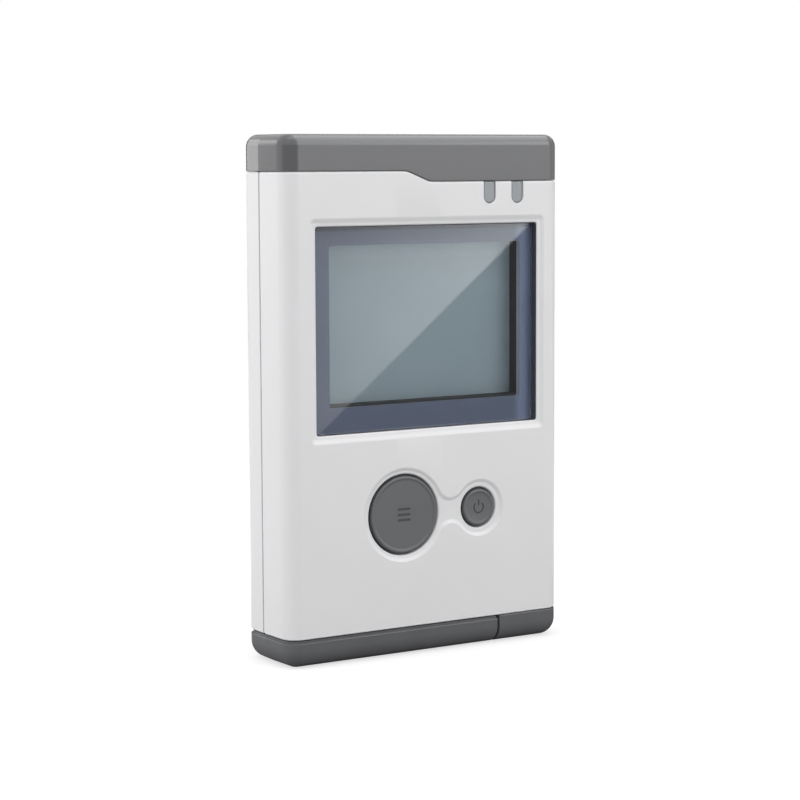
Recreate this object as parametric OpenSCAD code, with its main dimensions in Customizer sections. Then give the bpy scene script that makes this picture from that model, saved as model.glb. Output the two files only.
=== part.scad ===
// Handheld one-lead heart rhythm monitor, standing on its foot.
// X runs to the viewer's right, Y to the back, Z up; the origin is under the middle of the body.

/* [Body] */
// Width across the housings
body_w = 66; // [65:1:74]
// Height from the foot to the top of the end cap
body_h = 105; // [101:1:115]
// Radius of the four upright edges
edge_r = 3.4; // [3:0.2:4.4]
// Radius of the edges round the foot
foot_r = 3.6; // [3.4:0.2:4.8]
// Radius of the edges round the top
top_r = 1.9; // [1.2:0.1:2.4]
// Wall of the two housings and the end caps
wall = 1.6; // [1.4:0.1:2]
// Depth of the front housing, from the front face to the parting line
front_depth = 10.2; // [9.6:0.1:11]
// Free depth between the key board and the battery tray
spare_depth = 0.2; // [0.2:0.1:2]
// How far the electrodes stand out of the back
proud = 0.4; // [0.3:0.1:0.6]

/* [End caps] */
// Height of the two pieces round the foot
foot_cap_h = 5.85; // [5.25:0.1:7]
// Height of the top end cap at its left end
top_cap_h = 7.3; // [6:0.1:9]
// How much lower the cap reaches over the indicator windows
brow_drop = 2.25; // [1.5:0.25:3]
// Place across the body where the cap's edge starts to slope down
brow_x = -5.1; // [-10:0.5:0]
// Width of that slope
brow_run = 5.4; // [3:0.2:8]
// Height of the cap's lip inside the housings
lip_h = 1.2; // [0.8:0.1:1.5]
// Thickness of the cap's lip
lip_t = 1; // [0.8:0.1:1.2]

/* [Display] */
// Width of the window opening
window_w = 52.7; // [51:0.5:55]
// Height of the window opening
window_h = 41; // [39:1:44]
// Corner radius of the window opening
window_r = 0.6; // [0.6:0.2:3]
// Place of the window across the body
window_x = 0.5; // [-0.75:0.25:0.75]
// Drop from the top of the body to the middle of the window
window_drop = 38.5; // [37.5:0.5:41]
// Depth of the window below the front face
window_recess = 2; // [0.5:0.1:2.2]
// Thickness of the clear window
window_t = 0.9; // [0.8:0.1:1.2]
// Thickness of the printed mask behind the window
mask_t = 0.15; // [0.1:0.05:0.3]
// Width of the clear view inside the mask
view_w = 45.6; // [42:0.4:46]
// Height of the clear view inside the mask
view_h = 32.1; // [30:0.5:34]
// How far the view sits right of the middle of the window
view_shift = 0.65; // [0:0.1:1]
// How far the view sits above the middle of the window
view_rise = 0.65; // [0:0.25:1]
// Thickness of the ledge that carries the window
ledge_t = 1; // [0.8:0.1:1.3]
// Width of the ledge's frame outside the window
ledge_rim = 1.2; // [0.8:0.1:1.6]
// Thickness of the foam gasket between ledge and glass
gasket_t = 2.8; // [1.5:0.1:3]
// Thickness of the liquid crystal glass
lcd_t = 2; // [1.6:0.1:2.4]
// Thickness of the backlight
backlight_t = 1.8; // [1.4:0.1:2.4]
// Border of the glass round the view
lcd_border = 2.4; // [1.8:0.1:2.6]
// Wall of the frame that holds glass and backlight
holder_wall = 0.8; // [0.6:0.1:1]
// Depth of the shallow step round window and keys
surround_depth = 0.4; // [0.2:0.1:0.6]
// Width of the step round the window
window_surround = 1.8; // [1:0.1:2.4]

/* [Keys] */
// Place of the mode key across the body
mode_x = -5.85; // [-9:0.25:-5]
// Place of the power key across the body
power_x = 12.25; // [11.5:0.25:13.5]
// Height of both keys above the foot
key_z = 28.85; // [26:0.25:30]
// Diameter of the mode key's hole
mode_d = 16.5; // [12:0.5:17.5]
// Diameter of the power key's hole
power_d = 8.4; // [7:0.2:9.4]
// Width of the step round the mode key
mode_surround = 1.1; // [0.8:0.1:1.6]
// Width of the step round the power key
power_surround = 1.7; // [1.2:0.1:2]
// How far the keys stand out of the floor of their step
key_rise = 0.2; // [0:0.05:0.6]
// Height of the neck that joins the two steps
neck_h = 5.2; // [4:0.2:7]
// Width of the flange that keeps a key in
flange_rim = 1; // [0.7:0.1:1.2]
// Thickness of that flange
flange_t = 0.6; // [0.5:0.1:0.9]
// Length of the nub under a key
nub_h = 0.25; // [0.2:0.05:0.5]
// How far a key can be pressed
key_travel = 0.3; // [0.2:0.05:0.35]
// Height of a switch body
switch_h = 0.8; // [0.7:0.05:1.2]
// Width of a switch body
switch_w = 5.2; // [4.4:0.2:6]
// Thickness of the key board
key_board_t = 0.8; // [0.6:0.1:1.2]

/* [Indicators] */
// Width of an indicator window's slot
indicator_w = 2.9; // [2.3:0.1:3.4]
// Height of the slot below the cap
indicator_h = 4.4; // [4:0.1:5]
// Place of the left indicator across the body
indicator_x = 14.9; // [12:0.5:16]
// Distance from the left indicator to the right one
indicator_pitch = 6.85; // [5:0.25:7.5]
// Depth of the indicator windows below the front face
indicator_recess = 0.2; // [0.1:0.1:0.6]

/* [Battery] */
// Diameter of a cell
cell_d = 10.5; // [10:0.1:11.2]
// Length of a cell with its button
cell_l = 44.5; // [43.5:0.1:44.9]
// Length of a contact spring under load
spring_l = 2.6; // [2.4:0.1:3]
// Wire of a contact spring
wire_d = 0.5; // [0.4:0.05:0.55]
// Thickness of a contact plate
plate_t = 0.4; // [0.3:0.05:0.6]
// Wall of the battery tray
tray_wall = 0.8; // [0.7:0.1:1]
// Wall of the battery cover's rear panel
cover_wall = 1.4; // [1.2:0.05:1.6]
// Width of the cover's rails under the housing's edge
rail = 1.1; // [0.8:0.1:1.2]
// Width of a snap tab of the cover
tab_w = 6; // [4:0.5:8]

/* [Electrodes and sockets] */
// Width of an electrode
electrode_w = 12; // [9:0.5:13]
// Height of an electrode
electrode_h = 42; // [34:1:44]
// Corner radius of an electrode
electrode_r = 3; // [2:0.5:4]
// Thickness of an electrode
electrode_t = 1; // [0.9:0.1:1.4]
// Width of the data socket
socket_w = 7.8; // [7.4:0.1:8]
// Thickness of the data socket
socket_t = 3.9; // [3.6:0.1:4]
// Length of the data socket
socket_l = 9; // [8:0.25:10]
// Width of the plug recess under the foot
plug_w = 9.8; // [9:0.2:10.2]
// Depth of the plug recess, front to back
plug_t = 6.4; // [6:0.1:6.6]

/* [Boards and fasteners] */
// Thickness of the main board
board_t = 1; // [0.8:0.1:1.6]
// Width of the microcontroller
controller_w = 12; // [9:0.5:14]
// Width of the memory chip
memory_w = 6; // [4:0.5:8]
// Height of the memory chip
memory_h = 5; // [4:0.5:6]
// Thickness of the chips
chip_t = 1.2; // [0.9:0.1:1.8]
// Width of the amplifier's shield
shield_w = 18; // [14:0.5:20]
// Height of the amplifier's shield
shield_h = 11; // [9:0.5:11.5]
// Thickness of the amplifier's shield
shield_t = 2.6; // [2:0.1:3.2]
// Sheet of the amplifier's shield
shield_wall = 0.3; // [0.2:0.05:0.4]
// Width of the crystal's can
crystal_w = 3.4; // [3:0.1:4]
// Length of the crystal's can
crystal_l = 9; // [7:0.5:11]
// Thickness of the crystal's can
crystal_t = 2.4; // [2:0.1:3]
// Width of a capacitor
capacitor_w = 1.6; // [1.2:0.1:2]
// Length of a capacitor
capacitor_l = 3; // [2:0.2:3.4]
// Thickness of a capacitor
capacitor_t = 0.9; // [0.6:0.1:1.4]
// Distance between capacitors
capacitor_pitch = 4; // [3:0.25:5]
// Radius of the beeper
beeper_r = 6; // [5:0.25:6.5]
// Thickness of the beeper
beeper_h = 4; // [3:0.25:5]
// Width of the ribbon between the boards
ribbon_w = 10; // [8:0.5:11]
// Width of the ribbon's sockets
ribbon_socket_w = 12; // [11.5:0.5:14]
// Height of the ribbon's sockets
ribbon_socket_h = 3; // [2.4:0.1:3.4]
// Thickness of the ribbon's sockets
ribbon_socket_t = 1; // [0.8:0.1:1.1]
// Length of a housing screw
housing_screw_l = 12; // [10:0.5:14]
// Length of a board screw
board_screw_l = 5; // [4:0.5:6.5]
// Radius of the posts that join the housings
post_r = 2.2; // [1.9:0.1:2.3]
// Radius of the bosses that carry the main board
boss_r = 2; // [1.7:0.1:2.1]
// Radius of a housing screw's thread
screw_r = 0.9; // [0.8:0.05:1.1]
// Radius of a housing screw's head
head_r = 1.9; // [1.6:0.1:2]
// Radius of a board screw's thread
board_screw_r = 0.8; // [0.6:0.05:0.9]
// Radius of the key board's locating pegs
peg_r = 0.9; // [0.7:0.1:1.1]

/* [Clearances] */
// Seam between visible shells
seam_gap = 0.25; // [0.15:0.05:0.35]
// Gap round a piece that sits in a pocket
fit_gap = 0.1; // [0.05:0.05:0.15]
// Gap round a key in its hole
key_gap = 0.45; // [0.25:0.05:0.55]
// Gap beside what slides
slide_gap = 0.2; // [0.15:0.05:0.25]
// Gap round a cell
cell_gap = 0.25; // [0.2:0.05:0.35]

/* [Hidden] */
$fn = 48;
cut = 1;            // how far a cutting shape runs past what it cuts
merge = 0.2;        // how deep joined shapes of one piece reach into each other

// Depth: the key stack is measured from the front face, the battery from the rear face.
thread_gap = 0.05;
flange_gap = slide_gap - 0.05;
cover_gap = cell_gap + 0.1;
rail_lip = 0.7;
key_stack = wall + flange_gap + flange_t + nub_h + key_travel + switch_h + key_board_t;
battery_stack = tray_wall + cell_gap + cell_d + cover_gap + cover_wall;
body_t = key_stack + spare_depth + battery_stack;

front_y = -body_t / 2;
rear_y = body_t / 2;
front_in = front_y + wall;
rear_in = rear_y - wall;
side_in = body_w / 2 - wall;
parting_y = front_y + front_depth;
front_part = [front_y - cut, parting_y - seam_gap / 2];
rear_part = [parting_y + seam_gap / 2, rear_y + cut];

// Heights of the seams
foot_z = foot_cap_h;
floor_top = foot_z + wall - merge;
seam_z = body_h - top_cap_h;
brow_z = seam_z - brow_drop;
indicator_low = brow_z - indicator_h;
lip_gap = fit_gap + 0.05;

// Display stack, from the front face inwards
window_z = body_h - window_drop;
view_x = window_x + view_shift;
view_z = window_z + view_rise;
window_y = front_y + window_recess;
mask_y = window_y + window_t;
ledge_y = mask_y + mask_t;
gasket_y = ledge_y + ledge_t;
lcd_y = gasket_y + gasket_t;
backlight_y = lcd_y + lcd_t;
board_y = backlight_y + backlight_t;
board_back = board_y + board_t;
lcd_w = view_w + 2 * lcd_border;
lcd_h = view_h + 2 * lcd_border;
ledge_margin = 0.1;
gasket_margin = 0.4;
flex_w = 16;
flex_t = 0.2;

// Key stack, from the keys' faces inwards
key_y = front_y + surround_depth - key_rise;
flange_y = front_in + flange_gap;
nub_y = flange_y + flange_t;
plunger_y = nub_y + nub_h;
switch_y = plunger_y + key_travel;
key_board_y = switch_y + switch_h;
key_board_back = key_board_y + key_board_t;
plunger_r = 1;

// Battery tray and cells
cover_in = rear_y - cover_wall;
cell_y = cover_in - cover_gap - cell_d / 2;
tray_front = cell_y - cell_d / 2 - cell_gap - tray_wall;
tray_left = -side_in + slide_gap;
bay_left = tray_left + tray_wall;
bay_right = bay_left + 2 * plate_t + spring_l + cell_l;
tray_right = bay_right + tray_wall;
cell_low_z = floor_top + cell_gap + cell_d / 2;
cell_high_z = cell_low_z + cell_d + 2 * cell_gap;
bay_top = cell_high_z + cell_d / 2 + cell_gap;
tray_top = bay_top + tray_wall;
panel_top = tray_top + wall;
split_x = bay_right - 0.4;
panel_left = -body_w / 2 + edge_r + 0.2;
contact_w = 6.4;
contact_h = 8;
nub_cell_r = 1.9;
nub_cell_l = 1;
tab_t = 1.1;
tab_xs = [-20, 5];
tab_rise = 0.5;
grip_pitch = 2.2;
grips = 5;

// Fasteners and boards; the board's bosses stand above and below the display's holder
head_t = 1.4;
head_seat = 1.8;
board_head_r = 1.6;
board_head_t = 0.9;
tongue_t = 0.8;
tongue_depth = 1;
tongue_x = side_in - fit_gap - tongue_t;
post_x = side_in - post_r - 2;
post_low_z = panel_top + post_r + 2.6;
post_high_z = brow_z - lip_h - post_r - 1.2;
boss_gap = 0.3;
boss_rise = lcd_h / 2 + fit_gap + holder_wall + boss_gap + boss_r;
bosses = [[lcd_w / 2 - boss_r - 2.8, view_z - boss_rise],
    [beeper_r + board_head_r + 1.4, view_z + boss_rise]];
board_low = post_low_z - post_r - 1.4;
board_high = brow_z - lip_h - 0.3;
board_side = tongue_x - 0.3;
socket_x = (tray_right + side_in) / 2;
socket_y = key_board_back + socket_t / 2;
socket_z = floor_top + merge;
recess_wall = 1;
key_socket_z = tray_top + 0.4;
key_board_x = [bay_left + 6, side_in - 0.4];
key_board_z = [floor_top + 0.6,
    max(key_socket_z + ribbon_socket_h, key_z + switch_w / 2) + 0.4];
peg_base_r = 1.8;
peg_xs = [key_board_x[0] + 3, power_x + power_d / 2 + flange_rim + peg_base_r + 0.5];
peg_zs = [key_board_z[0] + 3.2, key_board_z[1] - 2];
cap_peg_r = 0.9;
cap_peg_y = socket_y + plug_t / 2 + recess_wall + cap_peg_r + 0.9;
cap_peg_dx = 3;
cap_inner_z = 0.6;  // where the shapes inside the corner cap start, within its floor

// Parts on the boards
led_z = indicator_low + 1.5;
led = [2, 1, 1.2];
ribbon_rise = 3;
main_socket_z = key_socket_z + ribbon_socket_h + ribbon_rise;
controller_x = -3;
controller_z = view_z - controller_w / 2;
memory_x = controller_x + controller_w / 2 + 4 + memory_w / 2;
crystal_x = controller_x - controller_w / 2 - 3.3 - crystal_w / 2;
shield_z = view_z + 1;
capacitors_n = 6;
capacitor_x = controller_x - 2.5 * capacitor_pitch;
capacitor_z = view_z - controller_w - 5 - capacitor_l;
electrode_x = body_w / 2 - edge_r - 0.8 - electrode_w / 2;
electrode_z = window_z + 0.5;
electrode_y = rear_y + proud - electrode_t;
stud_r = 1;
stud_dz = [-9, 9];
stud_end = rear_in - 1;
beeper_z = board_high - beeper_r - 1.2;
sound_hole_r = 0.5;
sound_ring_r = 2.6;

// ---------- drawing helpers ----------

// rectangle with round corners about the origin
module rounded(w, h, r) {
    square([w - 2 * r, h], center = true);
    square([w, h - 2 * r], center = true);
    for (sx = [-1, 1], sy = [-1, 1])
        translate([sx * (w / 2 - r), sy * (h / 2 - r)]) circle(r);
}

// a drawing in X and Z, made solid from y[0] to y[1]
module along_y(y) translate([0, y[1], 0]) rotate([90, 0, 0]) linear_extrude(y[1] - y[0]) children();

// a drawing in Y and Z, made solid from x[0] to x[1]
module along_x(x) translate([x[0], 0, 0]) rotate([90, 0, 90]) linear_extrude(x[1] - x[0]) children();

// a box between pairs of limits
module block(x, y, z) translate([x[0], y[0], z[0]]) cube([x[1] - x[0], y[1] - y[0], z[1] - z[0]]);

// a round bar along Y at x, z
module bar(x, z, r, y) translate([x, y[1], z]) rotate([90, 0, 0]) cylinder(r = r, h = y[1] - y[0]);

// a round-cornered plate in X and Z
module plate(x, z, w, h, r, y) translate([x, 0, z]) along_y(y) rounded(w, h, r);

// the body's section seen from above, drawn in by inset
module section(inset = 0)
    rounded(body_w - 2 * inset, body_t - 2 * inset, max(edge_r - inset, 0.4));

// the whole body, its end edges rounded by r, drawn in by inset
module body_form(r, inset = 0) intersection() {
    linear_extrude(body_h) section(inset);
    along_y([front_y - cut, rear_y + cut]) translate([0, body_h / 2])
        rounded(body_w - 2 * inset, body_h - 2 * inset, r);
    along_x([-body_w, body_w]) translate([0, body_h / 2])
        rounded(body_t - 2 * inset, body_h - 2 * inset, r);
}

// everything above the top cap's edge, lowered by drop
module above_seam(drop = 0) along_y([front_y - 2 * cut, rear_y + 2 * cut]) polygon([
    [-body_w, seam_z - drop], [brow_x, seam_z - drop], [brow_x + brow_run, brow_z - drop],
    [body_w, brow_z - drop], [body_w, body_h + cut], [-body_w, body_h + cut]]);

// shell of the two housings between the seams, before it is parted
module housing_shell() difference() {
    translate([0, 0, foot_z]) linear_extrude(body_h - foot_z) section();
    translate([0, 0, foot_z - cut]) linear_extrude(body_h) section(wall);
    above_seam(seam_gap);
}

// ---------- shells ----------

// slot of one indicator window, open at the top
module indicator_slot(w, y, z_low, z_high) along_y(y) {
    translate([-w / 2, z_low + w / 2]) square([w, z_high - z_low - w / 2]);
    translate([0, z_low + w / 2]) circle(w / 2);
}

// shallow step in the front face round window and keys
module surround() {
    depth = [front_y - cut, front_y + surround_depth];
    plate(window_x, window_z, window_w + 2 * window_surround, window_h + 2 * window_surround,
        window_r + window_surround, depth);
    bar(mode_x, key_z, mode_d / 2 + mode_surround, depth);
    bar(power_x, key_z, power_d / 2 + power_surround, depth);
    block([mode_x, power_x], depth, [key_z - neck_h / 2, key_z + neck_h / 2]);
}

module front_housing() color("#e2e2e4") difference() {
    union() {
        intersection() {
            housing_shell();
            block([-body_w, body_w], front_part, [0, body_h]);
        }
        plate(window_x, window_z, window_w + 2 * ledge_rim, window_h + 2 * ledge_rim,
            window_r + ledge_rim, [front_in - merge, gasket_y]);
        intersection() {
            translate([0, 0, foot_z]) linear_extrude(floor_top - foot_z) section(wall - merge);
            union() {
                block([-body_w, body_w], [front_y, tray_front - slide_gap], [0, body_h]);
                block([tray_right + slide_gap, body_w], [front_y, front_part[1]], [0, body_h]);
            }
        }
        for (sx = [-1, 1]) {
            for (z = [post_low_z, post_high_z])
                bar(sx * post_x, z, post_r, [front_in - merge, front_part[1]]);
            for (b = bosses) bar(sx * b.x, b.y, boss_r, [front_in - merge, board_y]);
        }
        for (x = peg_xs, z = peg_zs) {
            bar(x, z, peg_base_r, [front_in - merge, key_board_y]);
            bar(x, z, peg_r, [front_in, key_board_back]);
        }
    }
    surround();
    plate(window_x, window_z, window_w, window_h, window_r, [front_y - cut, ledge_y]);
    plate(view_x, view_z, view_w + 2 * ledge_margin, view_h + 2 * ledge_margin, 0.5,
        [front_y, gasket_y + cut]);
    bar(mode_x, key_z, mode_d / 2, [front_y - cut, front_in + cut]);
    bar(power_x, key_z, power_d / 2, [front_y - cut, front_in + cut]);
    for (i = [0, 1]) translate([indicator_x + i * indicator_pitch, 0, 0])
        indicator_slot(indicator_w, [front_y - cut, front_in + cut], indicator_low, body_h);
    for (sx = [-1, 1]) {
        for (z = [post_low_z, post_high_z])
            bar(sx * post_x, z, screw_r + thread_gap, [front_in + cut, parting_y + cut]);
        for (b = bosses)
            bar(sx * b.x, b.y, board_screw_r + thread_gap, [front_in + cut, board_y + cut]);
    }
    for (x = tab_xs) block([x - tab_w / 2 - slide_gap, x + tab_w / 2 + slide_gap],
        [front_in - slide_gap, front_in + tab_t + slide_gap], [foot_z - cut, floor_top + cut]);
    block([socket_x - socket_w / 2 - 0.3, socket_x + socket_w / 2 + 0.3],
        [socket_y - socket_t / 2 - 0.3, socket_y + socket_t / 2 + 0.3],
        [foot_z - cut, floor_top + cut]);
}

// open box that carries the two cells
module battery_tray() difference() {
    block([tray_left, tray_right], [tray_front, rear_in + merge], [foot_z, tray_top]);
    block([bay_left, bay_right], [tray_front + tray_wall, rear_y + cut], [floor_top, bay_top]);
}

// tongue that reaches behind the front housing's side wall and closes the parting line
module side_tongue() {
    z = [tray_top + 1, board_high];
    block([tongue_x, side_in - fit_gap],
        [parting_y - tongue_depth, rear_part[0] + tongue_depth], z);
    block([tongue_x, side_in + merge], [rear_part[0], rear_part[0] + tongue_depth], z);
}

module rear_housing() color("#dfdfe2") difference() {
    union() {
        intersection() {
            housing_shell();
            block([-body_w, body_w], rear_part, [0, body_h]);
        }
        intersection() {
            translate([0, 0, foot_z]) linear_extrude(floor_top - foot_z) section(wall - merge);
            block([0, body_w], [rear_part[0], rear_y], [0, body_h]);
        }
        battery_tray();
        block([-side_in - merge, bay_left], [rear_part[0], rear_in - 2.2], [foot_z, tray_top]);
        for (sx = [-1, 1], z = [post_low_z, post_high_z])
            bar(sx * post_x, z, post_r, [rear_part[0], rear_in + merge]);
        side_tongue();
        mirror([1, 0, 0]) side_tongue();
    }
    block([panel_left - slide_gap, split_x + seam_gap / 2], [rear_in - slide_gap, rear_y + cut],
        [0, panel_top + seam_gap]);
    block([panel_left - rail - slide_gap, split_x + rail + slide_gap],
        [rear_in, rear_y - rail_lip], [0, panel_top + rail + slide_gap]);
    for (sx = [-1, 1]) {
        for (z = [post_low_z, post_high_z]) {
            bar(sx * post_x, z, screw_r + thread_gap, [parting_y - cut, rear_y + cut]);
            bar(sx * post_x, z, head_r + 2 * fit_gap, [rear_y - head_seat, rear_y + cut]);
        }
        plate(sx * electrode_x, electrode_z, electrode_w + 2 * fit_gap, electrode_h + 2 * fit_gap,
            electrode_r + fit_gap, [electrode_y, rear_y + cut]);
        for (dz = stud_dz)
            bar(sx * electrode_x, electrode_z + dz, stud_r + fit_gap, [rear_in - cut, rear_y]);
    }
    bar(0, beeper_z, sound_hole_r, [rear_in - cut, rear_y + cut]);
    for (a = [0 : 60 : 300])
        bar(sound_ring_r * cos(a), beeper_z + sound_ring_r * sin(a), sound_hole_r,
            [rear_in - cut, rear_y + cut]);
    for (dx = [-1, 1]) translate([socket_x + dx * cap_peg_dx, cap_peg_y, foot_z - cut])
        cylinder(r = cap_peg_r + fit_gap, h = wall + 2 * cut);
}

module top_end_cap() color("#808185") difference() {
    union() {
        intersection() {
            body_form(top_r);
            above_seam();
        }
        intersection() {
            linear_extrude(body_h - wall) section(wall + lip_gap);
            above_seam(lip_h);
        }
    }
    translate([0, 0, -cut]) linear_extrude(body_h - wall + cut) section(wall + lip_gap + lip_t);
}

// the shell round the foot, between two places across the body
module foot_shell(x, hollow) difference() {
    intersection() {
        body_form(foot_r);
        block(x, [front_y - cut, rear_y + cut], [-cut, foot_z - seam_gap]);
    }
    intersection() {
        translate([0, 0, wall]) linear_extrude(body_h) section(wall);
        block(hollow, [front_y, rear_y], [0, body_h]);
        along_x([-body_w, body_w]) translate([0, body_h / 2 + wall])
            rounded(body_t - 2 * wall, body_h, foot_r - wall);
        along_y([front_y - cut, rear_y + cut]) translate([0, body_h / 2 + wall])
            rounded(body_w - 2 * wall, body_h, foot_r - wall);
    }
}

module bottom_corner_cap() color("#6e6f73") difference() {
    union() {
        foot_shell([split_x + seam_gap / 2, body_w], [split_x + seam_gap / 2 + wall, body_w]);
        block([socket_x - plug_w / 2 - recess_wall, socket_x + plug_w / 2 + recess_wall],
            [socket_y - plug_t / 2 - recess_wall, socket_y + plug_t / 2 + recess_wall],
            [cap_inner_z, foot_z - seam_gap]);
        for (dx = [-1, 1]) translate([socket_x + dx * cap_peg_dx, cap_peg_y, cap_inner_z])
            cylinder(r = cap_peg_r, h = floor_top - cap_inner_z);
    }
    block([socket_x - plug_w / 2, socket_x + plug_w / 2],
        [socket_y - plug_t / 2, socket_y + plug_t / 2], [-cut, foot_z]);
    block([split_x, split_x + rail + slide_gap], [rear_in, rear_y - rail_lip], [-cut, foot_z]);
}

module battery_cover() color("#6c6d71") difference() {
    union() {
        foot_shell([-body_w, split_x - seam_gap / 2], [-body_w, split_x - seam_gap / 2 - wall]);
        block([panel_left, split_x - seam_gap / 2], [cover_in, rear_y], [foot_r, panel_top]);
        block([panel_left - rail, split_x - seam_gap / 2 + rail],
            [cover_in, rear_y - rail_lip - slide_gap], [foot_z + rail, panel_top + rail]);
        for (x = tab_xs) block([x - tab_w / 2, x + tab_w / 2],
            [front_in - merge, front_in + tab_t], [wall - merge, foot_z - seam_gap]);
        for (x = tab_xs) block([x - tab_w / 2, x + tab_w / 2],
            [front_in, front_in + tab_t], [wall, floor_top + tab_rise]);
    }
    for (i = [0 : grips - 1]) bar_x([panel_left + 12, split_x - 12],
        rear_y + 0.25, foot_z + 6 + i * grip_pitch, 0.7);
}

// a round bar along X at y, z
module bar_x(x, y, z, r) translate([x[0], y, z]) rotate([0, 90, 0]) cylinder(r = r, h = x[1] - x[0]);

// ---------- display ----------

module display_window() color("#aebcc6", 0.35)
    plate(window_x, window_z, window_w - 2 * fit_gap, window_h - 2 * fit_gap, window_r - fit_gap,
        [window_y, mask_y]);

module window_mask() color("#65718a") difference() {
    plate(window_x, window_z, window_w - 2 * fit_gap, window_h - 2 * fit_gap, window_r - fit_gap,
        [mask_y, ledge_y]);
    plate(view_x, view_z, view_w, view_h, 0.5, [mask_y - cut, ledge_y + cut]);
}

module display_gasket() color("#26282b") difference() {
    plate(view_x, view_z, lcd_w, lcd_h, 0.5, [gasket_y, lcd_y]);
    plate(view_x, view_z, view_w + 2 * gasket_margin, view_h + 2 * gasket_margin, window_r,
        [gasket_y - cut, lcd_y + cut]);
}

module lcd_glass() color("#93a0a8") plate(view_x, view_z, lcd_w, lcd_h, 0.3, [lcd_y, backlight_y]);

module lcd_backlight() color("#f0f2f4")
    plate(view_x, view_z, lcd_w, lcd_h, 0.3, [backlight_y, board_y]);

module lcd_holder() color("#d8d8d2") difference() {
    plate(view_x, view_z, lcd_w + 2 * (fit_gap + holder_wall),
        lcd_h + 2 * (fit_gap + holder_wall), 1, [lcd_y - 0.3, board_y]);
    plate(view_x, view_z, lcd_w + 2 * fit_gap, lcd_h + 2 * fit_gap, 0.4,
        [lcd_y - cut, board_y + cut]);
    block([view_x - flex_w / 2 - 0.5, view_x + flex_w / 2 + 0.5], [lcd_y - cut, board_y + cut],
        [view_z - lcd_h / 2 - 3, view_z - lcd_h / 2 + 1]);
}

// bends down from the lower edge of the glass and back to the board
module lcd_flex() color("#b06a2c") along_x([view_x - flex_w / 2, view_x + flex_w / 2])
    let (y = lcd_y + lcd_t / 2, z = view_z - lcd_h / 2, low = z - 2.6, t = flex_t) polygon([
        [y, z], [y, low + 0.6], [y + 0.6, low], [board_y - 0.8, low], [board_y - t, low - 0.6],
        [board_y - t, low - 3], [board_y, low - 3], [board_y, low - 0.5],
        [board_y - 0.7, low + t], [y + 0.7, low + t], [y + t, low + 0.7], [y + t, z]]);

// ---------- keys ----------

// a key: chamfered head, flange behind the wall and a nub for the switch
module key(x, d) translate([x, key_y, key_z]) rotate([-90, 0, 0]) rotate_extrude()
    let (r = d / 2 - key_gap, back = flange_y - key_y, c = 0.25) polygon([
        [0, 0.15], [r - 3 * c, 0.15], [r - 2 * c, 0], [r - c, 0], [r, c], [r, back],
        [d / 2 + flange_rim, back], [d / 2 + flange_rim, back + flange_t],
        [plunger_r + 0.5, back + flange_t], [plunger_r + 0.5, back + flange_t + nub_h],
        [0, back + flange_t + nub_h]]);

module switch_plunger(x) bar(x, key_z, plunger_r, [plunger_y, switch_y + key_travel]);

module switch_body(x) difference() {
    plate(x, key_z, switch_w, switch_w, 0.4, [switch_y, key_board_y]);
    bar(x, key_z, plunger_r + slide_gap, [switch_y - cut, switch_y + 2 * key_travel + 0.1]);
}

module mode_button() color("#6e7173") key(mode_x, mode_d);
module mode_switch_plunger() color("#1e1e20") switch_plunger(mode_x);
module mode_switch() color("#b9bcc0") switch_body(mode_x);
module power_button() color("#6e7173") key(power_x, power_d);
module power_switch_plunger() color("#1e1e20") switch_plunger(power_x);
module power_switch() color("#b9bcc0") switch_body(power_x);

// ---------- indicators ----------

// fills the slot in the wall, then runs back to the light source
module indicator_window(x) translate([x, 0, 0]) {
    w = indicator_w - 2 * fit_gap;
    low = indicator_low + fit_gap;
    high = brow_z - seam_gap - fit_gap;
    indicator_slot(w, [front_y + indicator_recess, front_in], low, high);
    indicator_slot(w, [front_in - merge, board_y - led[1] - 0.3], low, led_z + led[2]);
}

module indicator_window_left() color("#9ba2a5") indicator_window(indicator_x);
module indicator_window_right() color("#9ba2a5") indicator_window(indicator_x + indicator_pitch);

module indicator_leds() color("#f4f1e2") for (i = [0, 1])
    translate([indicator_x + i * indicator_pitch - led[0] / 2, board_y - led[1], led_z - led[2] / 2])
        cube(led);

// ---------- electrodes ----------

module electrode(side) {
    plate(side * electrode_x, electrode_z, electrode_w, electrode_h, electrode_r,
        [electrode_y, rear_y + proud]);
    for (dz = stud_dz)
        bar(side * electrode_x, electrode_z + dz, stud_r, [stud_end, electrode_y + merge]);
}

module electrode_left() color("#c4c6c8") electrode(-1);
module electrode_right() color("#c4c6c8") electrode(1);

// sprung strips from the board to one stud of each electrode
module electrode_contacts() color("#c9a24a") for (sx = [-1, 1])
    along_x([sx * electrode_x - 1.5, sx * electrode_x + 1.5])
        let (z = electrode_z + stud_dz[0], t = 0.25) polygon([
            [board_back, z - 2], [board_back + t, z - 2], [board_back + t, z + 1.4],
            [stud_end - t, z - 1.6], [stud_end - t, z - 2], [stud_end, z - 2],
            [stud_end, z + 1.2], [stud_end - t, z + 1.2], [stud_end - t, z - 1],
            [board_back + t, z + 2], [board_back, z + 2]]);

// ---------- boards ----------

module main_board() color("#2f6b46") difference() {
    plate(0, (board_low + board_high) / 2, 2 * board_side, board_high - board_low, 1,
        [board_y, board_back]);
    for (sx = [-1, 1]) {
        for (z = [post_low_z, post_high_z])
            bar(sx * post_x, z, post_r + 0.3, [board_y - cut, board_back + cut]);
        for (b = bosses)
            bar(sx * b.x, b.y, board_screw_r + thread_gap, [board_y - cut, board_back + cut]);
    }
}

module key_board() color("#2f6b46") difference() {
    block(key_board_x, [key_board_y, key_board_back], key_board_z);
    for (x = peg_xs, z = peg_zs)
        bar(x, z, peg_r + fit_gap, [key_board_y - cut, key_board_back + cut]);
    for (sx = [-1, 1])
        bar(sx * post_x, post_low_z, post_r + 0.3, [key_board_y - cut, key_board_back + cut]);
}

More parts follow.
